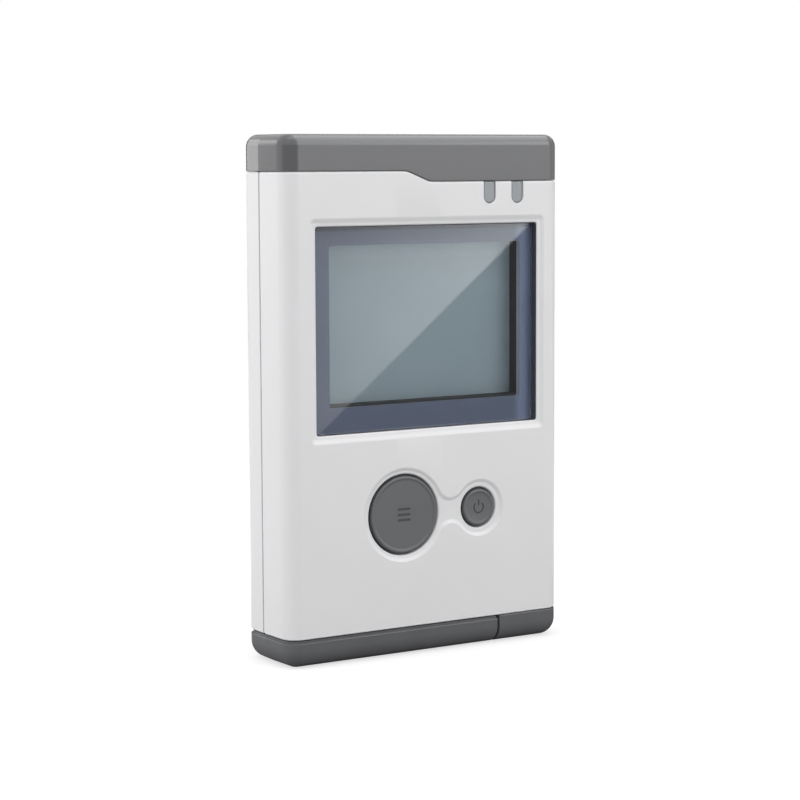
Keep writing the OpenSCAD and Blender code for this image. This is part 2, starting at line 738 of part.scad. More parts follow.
module ribbon_sockets() color("#ece8dc") {
    x = [-ribbon_socket_w / 2, ribbon_socket_w / 2];
    block(x, [board_y - ribbon_socket_t, board_y],
        [main_socket_z, main_socket_z + ribbon_socket_h]);
    block(x, [key_board_back, key_board_back + ribbon_socket_t],
        [key_socket_z, key_socket_z + ribbon_socket_h]);
}

// flat ribbon from the main board's socket down to the key board's
module key_ribbon() color("#e4e4e0") along_x([-ribbon_w / 2, ribbon_w / 2])
    let (y1 = board_y - 0.6, z1 = main_socket_z, y0 = key_board_back + 0.5,
        z0 = key_socket_z + ribbon_socket_h, t = flex_t) polygon([
            [y1, z1], [y1, z1 - 0.5], [y0, z0 + 0.5], [y0, z0], [y0 + t, z0],
            [y0 + t, z0 + 0.4], [y1 + t, z1 - 0.6], [y1 + t, z1]]);

module chip(x, z, w, h, t) color("#1b1c1e") plate(x, z, w, h, 0.3, [board_back, board_back + t]);

module microcontroller() chip(controller_x, controller_z, controller_w, controller_w, chip_t);
module memory_chip() chip(memory_x, view_z - 2 * memory_h, memory_w, memory_h, chip_t);

module amplifier_shield() color("#c8cacc") difference() {
    block([-shield_w / 2, shield_w / 2], [board_back, board_back + shield_t],
        [shield_z, shield_z + shield_h]);
    block([-shield_w / 2 + shield_wall, shield_w / 2 - shield_wall],
        [board_back - cut, board_back + shield_t - shield_wall],
        [shield_z + shield_wall, shield_z + shield_h - shield_wall]);
}

module crystal() color("#b8babd")
    plate(crystal_x, controller_z, crystal_w, crystal_l, crystal_w / 2 - 0.1,
        [board_back, board_back + crystal_t]);

module capacitors() color("#b49a6a") for (i = [0 : capacitors_n - 1])
    translate([capacitor_x + i * capacitor_pitch, board_back, capacitor_z])
        cube([capacitor_w, capacitor_t, capacitor_l]);

module beeper() color("#202124") difference() {
    bar(0, beeper_z, beeper_r, [board_back, board_back + beeper_h]);
    bar(0, beeper_z, 1, [board_back + 1, board_back + beeper_h + cut]);
}

module usb_socket() color("#c4c6c8") {
    x = [socket_x - socket_w / 2, socket_x + socket_w / 2];
    y = [key_board_back, key_board_back + socket_t];
    difference() {
        block(x, y, [socket_z, socket_z + socket_l]);
        block([x[0] + 0.4, x[1] - 0.4], [y[0] + 0.4, y[1] - 0.4], [socket_z - cut, socket_z + 7]);
    }
    block([x[0] + 1.5, x[1] - 1.5], [socket_y - 0.4, socket_y + 0.4], [socket_z + 1, socket_z + 7.2]);
}

// ---------- battery ----------

// a cell from its flat end at x, the button towards dir
module cell(x, z, dir) translate([x, cell_y, z]) rotate([0, dir * 90, 0]) rotate_extrude()
    let (r = cell_d / 2, body = cell_l - nub_cell_l) polygon([
        [0, 0], [r - 0.4, 0], [r, 0.4], [r, body - 0.4], [r - 0.4, body], [nub_cell_r, body],
        [nub_cell_r, cell_l], [0, cell_l]]);

module battery_upper() color("#3a6ea8") cell(bay_left + plate_t + spring_l, cell_high_z, 1);
module battery_lower() color("#3a6ea8") cell(bay_right - plate_t - spring_l, cell_low_z, -1);

module battery_contacts() color("#c9cbce") for (x = [bay_left, bay_right - plate_t],
    z = [cell_low_z, cell_high_z])
    block([x, x + plate_t], [cell_y - contact_w / 2, cell_y + contact_w / 2],
        [z - contact_h / 2, z + contact_h / 2]);

// Contact springs: one tube each, a cone of curls between two short straight ends.
curls = 2.5;
curl_rings = 8;
coil_r0 = 3.6;
coil_r1 = 1.2;
tube_sides = 6;
rings = curls * curl_rings;
coil_start = 1.2 * wire_d;
coil_run = spring_l - 2 * coil_start;
coil = [for (i = [0 : rings]) let (t = i / rings, a = 360 * curls * t,
    r = coil_r0 + (coil_r1 - coil_r0) * t)
    [coil_start + coil_run * t, r * cos(a), r * sin(a)]];
spring_path = concat([[0, coil[0].y, coil[0].z]], coil, [[spring_l, coil[rings].y, coil[rings].z]]);
function unit(v) = v / norm(v);
function heading(p, i) = i == 0 || i == len(p) - 1 ? [1, 0, 0]
    : unit(unit(p[i + 1] - p[i]) + unit(p[i] - p[i - 1]));
function ring(p, i) = let (h = heading(p, i), out = [0, p[i].y, p[i].z],
    u = unit(out - h * (out * h)), v = cross(h, u))
    [for (k = [0 : tube_sides - 1]) let (a = 360 * k / tube_sides)
        p[i] + (u * cos(a) + v * sin(a)) * wire_d / 2];
spring_gap = min([for (i = [0 : rings], j = [0 : rings]) if (j - i >= curl_rings / 2)
    norm(coil[j] - coil[i])]) - wire_d;
echo(str("least gap of a contact spring to itself: ", spring_gap, " mm"));

module spring() {
    n = len(spring_path);
    points = [for (i = [0 : n - 1]) each ring(spring_path, i)];
    sides = [for (i = [0 : n - 2], k = [0 : tube_sides - 1])
        let (a = i * tube_sides + k, b = i * tube_sides + (k + 1) % tube_sides)
        each [[a, b, b + tube_sides], [a, b + tube_sides, a + tube_sides]]];
    ends = [for (k = [1 : tube_sides - 2]) each [[0, k + 1, k],
        [(n - 1) * tube_sides, (n - 1) * tube_sides + k, (n - 1) * tube_sides + k + 1]]];
    polyhedron(points, concat(sides, ends), convexity = 6);
}

module battery_springs() color("#c9cbce") {
    translate([bay_left + plate_t, cell_y, cell_high_z]) spring();
    translate([bay_right - plate_t, cell_y, cell_low_z]) rotate([0, 0, 180]) spring();
}

// ---------- fasteners ----------

// a cross-recessed screw whose head's top is at y
module screw(x, z, y, length, r, head, thick) difference() {
    union() {
        bar(x, z, head, [y - thick, y]);
        bar(x, z, r, [y - length, y - thick + merge]);
    }
    for (a = [0, 90]) translate([x, y, z]) rotate([0, a, 0])
        translate([-head * 0.6, -thick * 0.5, -head * 0.13])
            cube([head * 1.2, thick, head * 0.26]);
}

module housing_screws() color("#a9abae") for (sx = [-1, 1], z = [post_low_z, post_high_z])
    screw(sx * post_x, z, rear_y - head_seat + head_t, housing_screw_l, screw_r, head_r, head_t);

module board_screws() color("#a9abae") for (sx = [-1, 1], b = bosses)
    screw(sx * b.x, b.y, board_back + board_head_t, board_screw_l, board_screw_r, board_head_r,
        board_head_t);

front_housing();
rear_housing();
top_end_cap();
bottom_corner_cap();
battery_cover();
display_window();
window_mask();
display_gasket();
lcd_glass();
lcd_backlight();
lcd_holder();
lcd_flex();
mode_button();
mode_switch_plunger();
mode_switch();
power_button();
power_switch_plunger();
power_switch();
indicator_window_left();
indicator_window_right();
indicator_leds();
electrode_left();
electrode_right();
electrode_contacts();
main_board();
key_board();
key_ribbon();
ribbon_sockets();
microcontroller();
amplifier_shield();
memory_chip();
crystal();
capacitors();
beeper();
usb_socket();
battery_upper();
battery_lower();
battery_springs();
battery_contacts();
housing_screws();
board_screws();
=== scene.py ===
"""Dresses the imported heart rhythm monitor: shells, display, keys, electrodes, cells, screws."""

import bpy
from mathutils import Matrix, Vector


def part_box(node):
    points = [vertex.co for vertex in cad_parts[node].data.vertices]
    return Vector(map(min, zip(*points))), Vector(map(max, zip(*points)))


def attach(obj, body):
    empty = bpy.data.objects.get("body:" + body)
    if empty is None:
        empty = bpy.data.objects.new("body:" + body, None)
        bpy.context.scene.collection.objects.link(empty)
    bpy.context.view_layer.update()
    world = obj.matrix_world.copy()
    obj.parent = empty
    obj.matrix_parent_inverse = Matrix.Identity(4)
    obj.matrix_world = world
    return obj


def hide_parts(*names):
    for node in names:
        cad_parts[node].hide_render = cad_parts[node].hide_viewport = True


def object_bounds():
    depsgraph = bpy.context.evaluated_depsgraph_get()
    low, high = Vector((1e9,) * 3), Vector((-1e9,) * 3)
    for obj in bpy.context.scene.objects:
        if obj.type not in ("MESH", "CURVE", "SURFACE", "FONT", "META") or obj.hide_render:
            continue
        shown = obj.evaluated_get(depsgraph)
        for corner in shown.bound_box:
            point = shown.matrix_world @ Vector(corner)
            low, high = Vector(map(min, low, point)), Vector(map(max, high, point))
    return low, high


bl_info = {
    "name": "ECG home monitor",
    "version": (1, 0, 0),
    "blender": (4, 5, 0),
    "location": "View3D > Sidebar > Monitor",
    "description": "Builds the visible pieces of a handheld heart rhythm monitor round its frame",
    "category": "Object",
}

from math import atan2, cos, pi, radians, sin, sqrt, tan

import bmesh
import bpy
from mathutils import Matrix, Vector

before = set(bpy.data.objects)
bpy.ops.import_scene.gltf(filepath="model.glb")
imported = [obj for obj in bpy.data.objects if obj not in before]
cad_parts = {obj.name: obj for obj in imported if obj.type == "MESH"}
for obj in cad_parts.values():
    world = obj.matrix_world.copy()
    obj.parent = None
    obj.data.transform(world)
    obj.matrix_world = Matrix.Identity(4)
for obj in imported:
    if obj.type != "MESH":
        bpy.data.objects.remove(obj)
CAD_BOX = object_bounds()

MM = 0.001
LEAST_RADIUS = 0.3      # an edge drawn in past its own radius keeps this one
OUTSIDE = 1.0           # how far a cutting shape starts outside what it cuts


def box(node):
    """Lowest and highest corner of a CAD node in millimetres."""
    return [[round(c / MM, 4) for c in corner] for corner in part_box(node)]


def span(node):
    """Middle and size of a CAD node in millimetres."""
    low, high = box(node)
    return [(a + b) / 2 for a, b in zip(low, high)], [b - a for a, b in zip(low, high)]


HALF_W = round(CAD_BOX[1].x / MM, 4)
TOP_Z = round(CAD_BOX[1].z / MM, 4)
_, FRONT_Y, FOOT_Z = box("front_housing")[0]
REAR_Y = -FRONT_Y
GASKET_RIM = 2.3        # width of the foam frame behind the window
MERGE = 0.2             # how far joined shapes run into each other
MOUTH_EDGE = 0.15       # rounding of the openings in the back
POST = 2.2              # radius of a housing screw's post
POST_BORE = 0.95
BOSS = 2.0              # radius of a board screw's boss
BOSS_BORE = 0.85
HOUSING_HEAD = 1.9      # radius of a housing screw's head
BOARD_HEAD = 1.6        # radius of a board screw's head
UPPER_BOSS_X = 9.0      # upper board screws, either side of the middle
RIGHT_PEG_X = 19.75     # right pegs of the key board
BAY_WALL = 0.8          # wall of the battery tray
TAB_XS = (-20, 5)       # snap tabs of the battery cover
STUD_RISE = 9           # studs of an electrode, above and below its middle
PLUG = (9.8 / 2, 6.4 / 2)       # half the width and depth of the plug recess
PLUG_WALL = 1.0
CAP_PEG = 0.9           # radius of the corner cap's pegs
CAP_PEG_X = 3           # pegs, either side of the plug recess's middle
CROWN = ((103.1, 0.05), (103.45, 0.16), (103.8, 0.32), (104.1, 0.52), (104.4, 0.8),
         (104.62, 1.07), (104.8, 1.37), (104.92, 1.68))     # height and inset of the cap's top


# ---------- sizes and colours a user would change ----------

def length(name, description, millimetres):
    return bpy.props.FloatProperty(name=name, description=description, default=millimetres * MM,
                                   precision=5, subtype="DISTANCE", unit="LENGTH")


def angle(name, description, degrees):
    return bpy.props.FloatProperty(name=name, description=description, default=radians(degrees),
                                   subtype="ANGLE", unit="ROTATION")


def number(name, description, value):
    return bpy.props.FloatProperty(name=name, description=description, default=value, min=0.0)


def colour(name, description, rgb):
    return bpy.props.FloatVectorProperty(name=name, description=description, default=rgb,
                                         size=3, min=0.0, max=1.0, subtype="COLOR")


class ShellSizes(bpy.types.PropertyGroup):
    edge: length("Upright edge", "Radius of the four upright edges", 3.4)
    wall: length("Wall", "Wall of the two housings", 1.6)
    front_draft: angle("Front draft", "Lean of the front housing's sides", 1.5)
    rear_draft: angle("Rear draft", "Lean of the rear housing's sides", 2.0)
    parting: length("Parting line", "Place of the parting line, front to back", 1.2)
    rim: length("Rim", "Rounding of the housings' rims at the seams", 0.45)
    parting_gap: length("Parting gap", "Gap between the two housings at the parting line", 0.25)
    split_rim: length("Parting rim", "Rounding of the edges at the parting line", 0.3)


class SeamSizes(bpy.types.PropertyGroup):
    left_z: length("Left height", "Height of the top cap's lower edge at its left end", 97.8)
    drop: length("Drop", "How much lower the edge is over the indicators", 2.15)
    start_x: length("Slope start", "Place where the edge begins to slope", -4.9)
    run: length("Slope width", "Width of the slope", 5.4)
    gap: length("Seam", "Gap between cap and housings", 0.05)
    rim: length("Cap rim", "Rounding of the cap's lower edge", 0.15)
    crease_z: length("Crease", "Height where the cap's faces turn in to its top", 102.8)
    softness: number("Softness", "How softly the slope begins and ends", 0.08)


class FootSizes(bpy.types.PropertyGroup):
    edge: length("Foot edge", "Radius of the edges round the foot", 3.6)
    groove: length("Groove", "Depth of the shadow groove above the battery cover", 0.45)
    groove_z: length("Groove height", "Height where the groove begins", 5.05)
    split_x: length("Split", "Place of the gap between cover and corner cap", 17.1)
    split_gap: length("Split gap", "Width of that gap", 0.4)
    split_rim: length("Split rim", "Rounding of the edges along that gap", 0.25)
    corner_top: length("Corner cap top", "Height of the corner cap", 5.75)


class DisplaySizes(bpy.types.PropertyGroup):
    width: length("Width", "Width of the window opening", 52.7)
    height: length("Height", "Height of the window opening", 41.0)
    corner: length("Corner", "Corner radius of the opening", 0.5)
    step_corner: length("Step corner", "Corner radius of the step's outline", 1.4)
    surround: length("Surround", "Width of the shallow step round the opening", 1.8)
    depth: length("Step depth", "Depth of that step", 0.4)
    slope: length("Step slope", "Width of the step's slope", 1.35)
    flare: length("Flare", "Rounding of the opening's edge", 0.4)
    foam_sill: length("Foam sill", "How far the foam stands up over the view's lower edge", 0.5)


class KeySizes(bpy.types.PropertyGroup):
    mode_hole: length("Mode hole", "Diameter of the mode key's hole", 16.5)
    power_hole: length("Power hole", "Diameter of the power key's hole", 8.4)
    mode_step: length("Mode step", "Width of the step round the mode key", 1.45)
    power_step: length("Power step", "Width of the step round the power key", 1.85)
    neck: length("Neck", "Height of the neck that joins the two steps", 5.6)
    fillet: length("Neck fillet", "Radius where the neck meets the steps", 3.0)
    slope: length("Step slope", "Width of the step's slope", 1.0)
    gap: length("Gap", "Gap round a key in its hole", 0.45)
    rim: length("Rim", "Height of the rim round a key's face", 0.12)
    rim_width: length("Rim width", "Width of that rim with its slopes", 0.9)
    edge: length("Key edge", "Rounding of a key's edge", 0.3)
    mark: length("Mark depth", "Depth of the marks in the keys", 0.1)


class RearSizes(bpy.types.PropertyGroup):
    grip_pitch: length("Grip pitch", "Distance between the battery cover's grip grooves", 2.2)
    grip_z: length("Grip height", "Height of the lowest groove", 11.85)
    grip_radius: length("Grip radius", "Radius of a groove", 0.7)
    hole: length("Sound hole", "Radius of a sound hole", 0.5)
    hole_ring: length("Sound ring", "Radius of the ring of sound holes", 2.6)
    hole_z: length("Sound height", "Height of the sound holes' middle", 86.75)
    grips: bpy.props.IntProperty(name="Grips", description="Number of grooves", default=5, min=1)
    holes: bpy.props.IntProperty(name="Sound holes", description="Holes in the ring",
                                 default=6, min=3)


class FinishColours(bpy.types.PropertyGroup):
    shell: colour("Shell", "White of the two housings", (0.79, 0.79, 0.80))
    cap: colour("Top cap", "Grey of the top end cap", (0.120, 0.121, 0.127))
    foot: colour("Foot", "Grey of the pieces round the foot", (0.125, 0.127, 0.133))
    key: colour("Keys", "Grey of the keys", (0.120, 0.126, 0.130))
    mark: colour("Marks", "Grey of the marks in the keys", (0.055, 0.058, 0.062))
    print_face: colour("Window print", "Blue grey behind the window", (0.115, 0.139, 0.222))
    # Painted shade: a dark colour on the wall of the window's opening, where the recess lies in
    # shade.
    wall: colour("Opening", "Paint on the wall of the window's opening", (0.070, 0.074, 0.090))
    ledge: colour("Ledge", "Grey of the wall round the view", (0.48, 0.48, 0.51))
    lcd: colour("Display", "Grey green of the display", (0.355, 0.438, 0.488))
    light_pipe: colour("Indicators", "Grey of the indicator windows", (0.30, 0.325, 0.34))
    jacket: colour("Cells", "Blue of the cells' jackets", (0.05, 0.14, 0.36))


class StageSettings(bpy.types.PropertyGroup):
    key_light: number("Key light", "Radiance of the large light in front", 1.6)
    front_light: number("Front light", "Radiance of the light in front, at the left", 1.17)
    side_light: number("Side light", "Radiance of the light at the left", 3.15)
    rear_light: number("Rear light", "Radiance of the light behind, at the left", 2.4)
    top_light: number("Top light", "Radiance of the light above", 1.5)
    ambient: number("Ambient", "Strength of the surroundings on matt faces", 0.6)
    card: number("Card", "Strength of the card that the window mirrors", 2.7)
    strip: number("Strip", "Strength of the arch that the cap's bevel mirrors", 3.6)
    screen: number("Screen", "Strength of the dark screens that gloss mirrors", 0.2)
    floor_glow: number("Floor", "How much paler the floor looks to the camera", 0.62)


class MonitorSettings(bpy.types.PropertyGroup):
    shell: bpy.props.PointerProperty(type=ShellSizes, name="Shells")
    seam: bpy.props.PointerProperty(type=SeamSizes, name="Top seam")
    foot: bpy.props.PointerProperty(type=FootSizes, name="Foot")
    display: bpy.props.PointerProperty(type=DisplaySizes, name="Display")
    keys: bpy.props.PointerProperty(type=KeySizes, name="Keys")
    rear: bpy.props.PointerProperty(type=RearSizes, name="Rear")
    colours: bpy.props.PointerProperty(type=FinishColours, name="Colours")
    stage: bpy.props.PointerProperty(type=StageSettings, name="Stage")


class Millimetres:
    """The lengths of one property group, read in millimetres; other values as they are."""

    def __init__(self, group):
        self.group = group

    def __getattr__(self, name):
        value = getattr(self.group, name)
        if self.group.bl_rna.properties[name].unit == "LENGTH":
            return round(value / MM, 4)
        return value


def sizes(context, group):
    return Millimetres(getattr(context.scene.monitor, group))


# ---------- outlines ----------

def rounded_loop(corners, inset=0.0):
    """Points round a polygon drawn in by inset. A corner is (x, y, radius, steps),
    counter-clockwise; one step is a plain point."""
    points = [Vector((c[0], c[1])) for c in corners]
    loop = []
    for i, (_, _, radius, steps) in enumerate(corners):
        before = (points[i] - points[i - 1]).normalized()
        after = (points[(i + 1) % len(points)] - points[i]).normalized()
        inward = Vector((-before.y, before.x))
        inward_next = Vector((-after.y, after.x))
        corner = points[i] + (inward + inward_next) * (inset / (1 + inward.dot(inward_next)))
        turn = atan2(before.x * after.y - before.y * after.x, before.dot(after))
        if steps == 1:
            loop.append((corner.x, corner.y))
            continue
        side = 1 if turn > 0 else -1
        r = max(radius - side * inset, min(radius, LEAST_RADIUS))
        centre = corner - before * (r * tan(abs(turn) / 2)) + inward * (side * r)
        for k in range(steps):
            a = turn * k / (steps - 1)
            x, y = inward * (-side * r)
            loop.append((centre.x + x * cos(a) - y * sin(a), centre.y + x * sin(a) + y * cos(a)))
    return loop


def rectangle(x, z, width, height, radius, steps=8):
    """Corners of a rectangle about x, z."""
    return [(x + sx * width / 2, z + sz * height / 2, radius, steps)
            for sx, sz in ((-1, -1), (1, -1), (1, 1), (-1, 1))]


def arc_loop(arcs, inset=0.0):
    """Points along joined arcs (x, z, radius, from, to, steps) in degrees;
    an arc that runs backwards is hollow."""
    loop = []
    for x, z, radius, start, end, steps in arcs:
        r = radius - inset if end > start else radius + inset
        for k in range(steps):
            a = radians(start + (end - start) * k / steps)
            loop.append((x + r * cos(a), z + r * sin(a)))
    return loop


def round_over(radius, steps=4, depth=None):
    """(along, inset) of each row of a rounded edge, from the end face out to the wall."""
    depth = radius if depth is None else depth
    quarter = [pi / 2 * k / steps for k in range(steps + 1)]
    return [(depth * (1 - cos(a)), radius * (1 - sin(a))) for a in quarter]


def ease(t):
    """0 to 1 along a slope with a soft start and end."""
    return t * t * (3 - 2 * t)


# ---------- solids, in millimetres ----------

def solid(name, verts, faces):
    """A mesh object whose faces point outwards."""
    mesh = bpy.data.meshes.new(name)
    mesh.from_pydata(verts, [], faces)
    shape = bmesh.new()
    shape.from_mesh(mesh)
    bmesh.ops.recalc_face_normals(shape, faces=shape.faces)
    shape.to_mesh(mesh)
    shape.free()
    obj = bpy.data.objects.new(name, mesh)
    bpy.context.scene.collection.objects.link(obj)
    return obj


def loft(name, loops, strips=False):
    """A closed solid through loops of equal length. Strips close the ends of a rim
    whose second half runs back inside its first."""
    n = len(loops[0])
    verts = [p for loop in loops for p in loop]
    faces = [(a * n + i, a * n + (i + 1) % n, (a + 1) * n + (i + 1) % n, (a + 1) * n + i)
             for a in range(len(loops) - 1) for i in range(n)]
    for base in (0, (len(loops) - 1) * n):
        if strips:
            faces += [(base + i, base + i + 1, base + n - 2 - i, base + n - 1 - i)
                      for i in range(n // 2 - 1)]
        else:
            faces.append(tuple(range(base, base + n)))
    return solid(name, verts, faces)


def flat(loop, y):
    return [(x, y, z) for x, z in loop]


def plate(name, corners, rows):
    """A solid along Y through a rounded outline; rows are (y, inset)."""
    return loft(name, [flat(rounded_loop(corners, inset), y) for y, inset in rows])


def turned(name, centre, axis, profile, steps=48):
    """A solid turned round an axis; profile is (place along the axis, radius)."""
    u, v, w = {"X": (1, 2, 0), "Y": (2, 0, 1), "Z": (0, 1, 2)}[axis]
    loops = []
    for along, radius in profile:
        loop = []
        for k in range(steps):
            point = [0.0, 0.0, 0.0]
            point[u] = centre[0] + radius * cos(2 * pi * k / steps)
            point[v] = centre[1] + radius * sin(2 * pi * k / steps)
            point[w] = along
            loop.append(tuple(point))
        loops.append(loop)
    return loft(name, loops)


def bar(x, z, radius, y, steps=32):
    """A plain round bar along Y."""
    return turned("bar", (z, x), "Y", [(y[0], radius), (y[1], radius)], steps)


def brick(x, y, z, edge=0.0):
    """A block between pairs of limits, its edges rounded by edge."""
    corners = [(a, b, c) for a in x for b in y for c in z]
    faces = [(0, 1, 3, 2), (4, 6, 7, 5), (0, 4, 5, 1), (2, 3, 7, 6), (0, 2, 6, 4), (1, 5, 7, 3)]
    obj = solid("block", corners, faces)
    if edge:
        bevel(obj, edge, lambda a, b: True)
    return obj


def bevel(obj, radius, test, segments=3):
    """Rounds the edges whose two ends pass the test."""
    shape = bmesh.new()
    shape.from_mesh(obj.data)
    edges = [e for e in shape.edges if test(e.verts[0].co, e.verts[1].co)
             and e.calc_face_angle(0) > radians(20)]
    bmesh.ops.bevel(shape, geom=edges, offset=radius, segments=segments, profile=0.5,
                    affect="EDGES", clamp_overlap=True)
    shape.to_mesh(obj.data)
    shape.free()


def remove(obj):
    mesh = obj.data
    bpy.data.objects.remove(obj)
    bpy.data.meshes.remove(mesh)


def joined(objects):
    """One object from several that don't touch."""
    first, shape = objects[0], bmesh.new()
    for obj in objects:
        shape.from_mesh(obj.data)
    shape.to_mesh(first.data)
    shape.free()
    for obj in objects[1:]:
        remove(obj)
    return first


def bake(obj):
    """Turns what an object's modifiers make into its plain mesh."""
    old = obj.data
    graph = bpy.context.evaluated_depsgraph_get()
    mesh = bpy.data.meshes.new_from_object(obj.evaluated_get(graph))
    obj.modifiers.clear()
    obj.data = mesh
    mesh.name = obj.name
    bpy.data.meshes.remove(old)
    return obj


def combine(obj, operation, *tools):
    """Unites shapes with an object or cuts them out of it; together they must not touch."""
    tool = joined(list(tools))
    step = obj.modifiers.new(operation, "BOOLEAN")
    step.operation = operation
    step.solver = "EXACT"
    step.object = tool
    bake(obj)
    remove(tool)
    return obj


def unite(obj, *tools):
    return combine(obj, "UNION", *tools)


def cut(obj, *tools):
    return combine(obj, "DIFFERENCE", *tools)


def paint(obj, material, test):
    """Gives a second material to the faces whose middle and normal pass the test."""
    obj.data.materials.append(material)
    last = len(obj.data.materials) - 1
    for face in obj.data.polygons:
        if test(face.center, face.normal):
            face.material_index = last


def finish(obj, material, body="housing", replaces=(), crease=30, sharp=None):
    """Scales a piece to metres, settles its shading, hangs it on its body's empty and hides the CAD
    nodes it replaces.
    """
    mesh = obj.data
    if not mesh.materials:
        mesh.materials.append(material)
    mesh.transform(Matrix.Scale(MM, 4))
    mesh.shade_smooth()
    mesh.set_sharp_from_angle(angle=radians(crease))
    if sharp:
        for edge in mesh.edges:
            if all(sharp(mesh.vertices[i].co / MM) for i in edge.vertices):
                edge.use_edge_sharp = True
    step = obj.modifiers.new("Flat faces stay flat", "WEIGHTED_NORMAL")
    step.keep_sharp = True
    bake(obj)
    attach(obj, body)
    if replaces:
        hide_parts(*replaces)
    return obj


# ---------- node trees ----------

class Nodes:
    """Adds nodes to a tree, each with its settings and inputs in one call."""

    def __init__(self, tree):
        self.tree = tree
        tree.nodes.clear()

    def add(self, kind, inputs=None, **settings):
        node = self.tree.nodes.new(kind)
        for name, value in settings.items():
            setattr(node, name, value)
        for key, value in (inputs or {}).items():
            if isinstance(value, bpy.types.NodeSocket):
                self.tree.links.new(value, node.inputs[key])
            else:
                node.inputs[key].default_value = value
        return node


def repeated(name, inputs, build):
    """Runs a Geometry Nodes tree with named inputs and returns its result as a plain mesh.
    inputs are (label, socket type, value); build(nodes, sockets) returns the geometry."""
    tree = bpy.data.node_groups.new(name, "GeometryNodeTree")
    ports = [tree.interface.new_socket(name=label, in_out="INPUT", socket_type=kind)
             for label, kind, _ in inputs]
    finish_port = tree.interface.new_socket(name="Material", in_out="INPUT",
                                            socket_type="NodeSocketMaterial")
    tree.interface.new_socket(name="Geometry", in_out="OUTPUT",
                              socket_type="NodeSocketGeometry")
    nodes = Nodes(tree)
    entry = nodes.add("NodeGroupInput")
    shape = build(nodes, {label: entry.outputs[label] for label, _, _ in inputs})
    real = nodes.add("GeometryNodeRealizeInstances", {"Geometry": shape})
    coated = nodes.add("GeometryNodeSetMaterial",
                       {"Geometry": real.outputs[0], "Material": entry.outputs["Material"]})
    nodes.add("NodeGroupOutput", {"Geometry": coated.outputs[0]})
    obj = solid(name, [], [])
    step = obj.modifiers.new(name, "NODES")
    step.node_group = tree
    for port, (_, _, value) in zip(ports, inputs):
        step[port.identifier] = value
    step[finish_port.identifier] = None
    bake(obj)
    obj.data.materials.clear()
    return obj


def copies(nodes, points, shape, turn=(0.0, 0.0, 0.0)):
    return nodes.add("GeometryNodeInstanceOnPoints",
                     {"Points": points, "Instance": shape, "Rotation": turn}).outputs[0]


def moved(nodes, shape, offset=(0.0, 0.0, 0.0), turn=(0.0, 0.0, 0.0)):
    return nodes.add("GeometryNodeTransform",
                     {"Geometry": shape, "Translation": offset, "Rotation": turn}).outputs[0]


# ---------- finishes ----------

def shader(name):
    material = bpy.data.materials.new(name)
    material.use_nodes = True
    return material, Nodes(material.node_tree)


def ramp(nodes, value, low, high):
    """Blends two colours by a value."""
    node = nodes.add("ShaderNodeValToRGB", {"Fac": value})
    node.color_ramp.elements[0].position = 0.3
    node.color_ramp.elements[1].position = 0.7
    node.color_ramp.elements[0].color = (*low, 1)
    node.color_ramp.elements[1].color = (*high, 1)
    return node.outputs["Color"]


def spread(nodes, value, low, high):
    """Maps a noise value to a range."""
    return nodes.add("ShaderNodeMapRange", {"Value": value, "From Min": 0.3, "From Max": 0.7,
                                            "To Min": low, "To Max": high}).outputs["Result"]


def shade(rgb, factor):
    return tuple(min(1.0, c * factor) for c in rgb)


def plastic(name, rgb, roughness, grain=0.006, grain_scale=2600, tone=0.03, gloss=0.05, **sockets):
    """Moulded plastic: soft clouds in tone and gloss over a fine moulded grain."""
    material, nodes = shader(name)
    place = nodes.add("ShaderNodeTexCoord").outputs["Object"]
    cloud = nodes.add("ShaderNodeTexNoise", {"Vector": place, "Scale": 90.0, "Detail": 4.0})
    fine = nodes.add("ShaderNodeTexNoise", {"Vector": place, "Scale": grain_scale, "Detail": 2.0})
    bump = nodes.add("ShaderNodeBump", {"Height": fine.outputs[0], "Strength": 1.0,
                                        "Distance": grain * MM})
    bsdf = nodes.add("ShaderNodeBsdfPrincipled", {
        "Base Color": ramp(nodes, cloud.outputs[0], shade(rgb, 1 - tone), shade(rgb, 1 + tone)),
        "Roughness": spread(nodes, cloud.outputs[0], roughness - gloss, roughness + gloss),
        "Normal": bump.outputs[0], **sockets})
    nodes.add("ShaderNodeOutputMaterial", {"Surface": bsdf.outputs[0]})
    return material


def metal(name, rgb, roughness, stretch=(4.0, 4.0, 200.0)):
    """Brushed or drawn metal: a grain drawn out along two axes."""
    material, nodes = shader(name)
    place = nodes.add("ShaderNodeTexCoord").outputs["Object"]
    drawn = nodes.add("ShaderNodeMapping", {"Vector": place, "Scale": stretch})
    grain = nodes.add("ShaderNodeTexNoise", {"Vector": drawn.outputs[0], "Scale": 60.0,
                                             "Detail": 6.0, "Roughness": 0.7})
    bump = nodes.add("ShaderNodeBump", {"Height": grain.outputs[0], "Strength": 0.6,
                                        "Distance": 0.01 * MM})
    bsdf = nodes.add("ShaderNodeBsdfPrincipled", {
        "Base Color": ramp(nodes, grain.outputs[0], shade(rgb, 0.86), shade(rgb, 1.1)),
        "Roughness": spread(nodes, grain.outputs[0], roughness - 0.06, roughness + 0.08),
        "Metallic": 1.0, "Normal": bump.outputs[0]})
    nodes.add("ShaderNodeOutputMaterial", {"Surface": bsdf.outputs[0]})
    return material


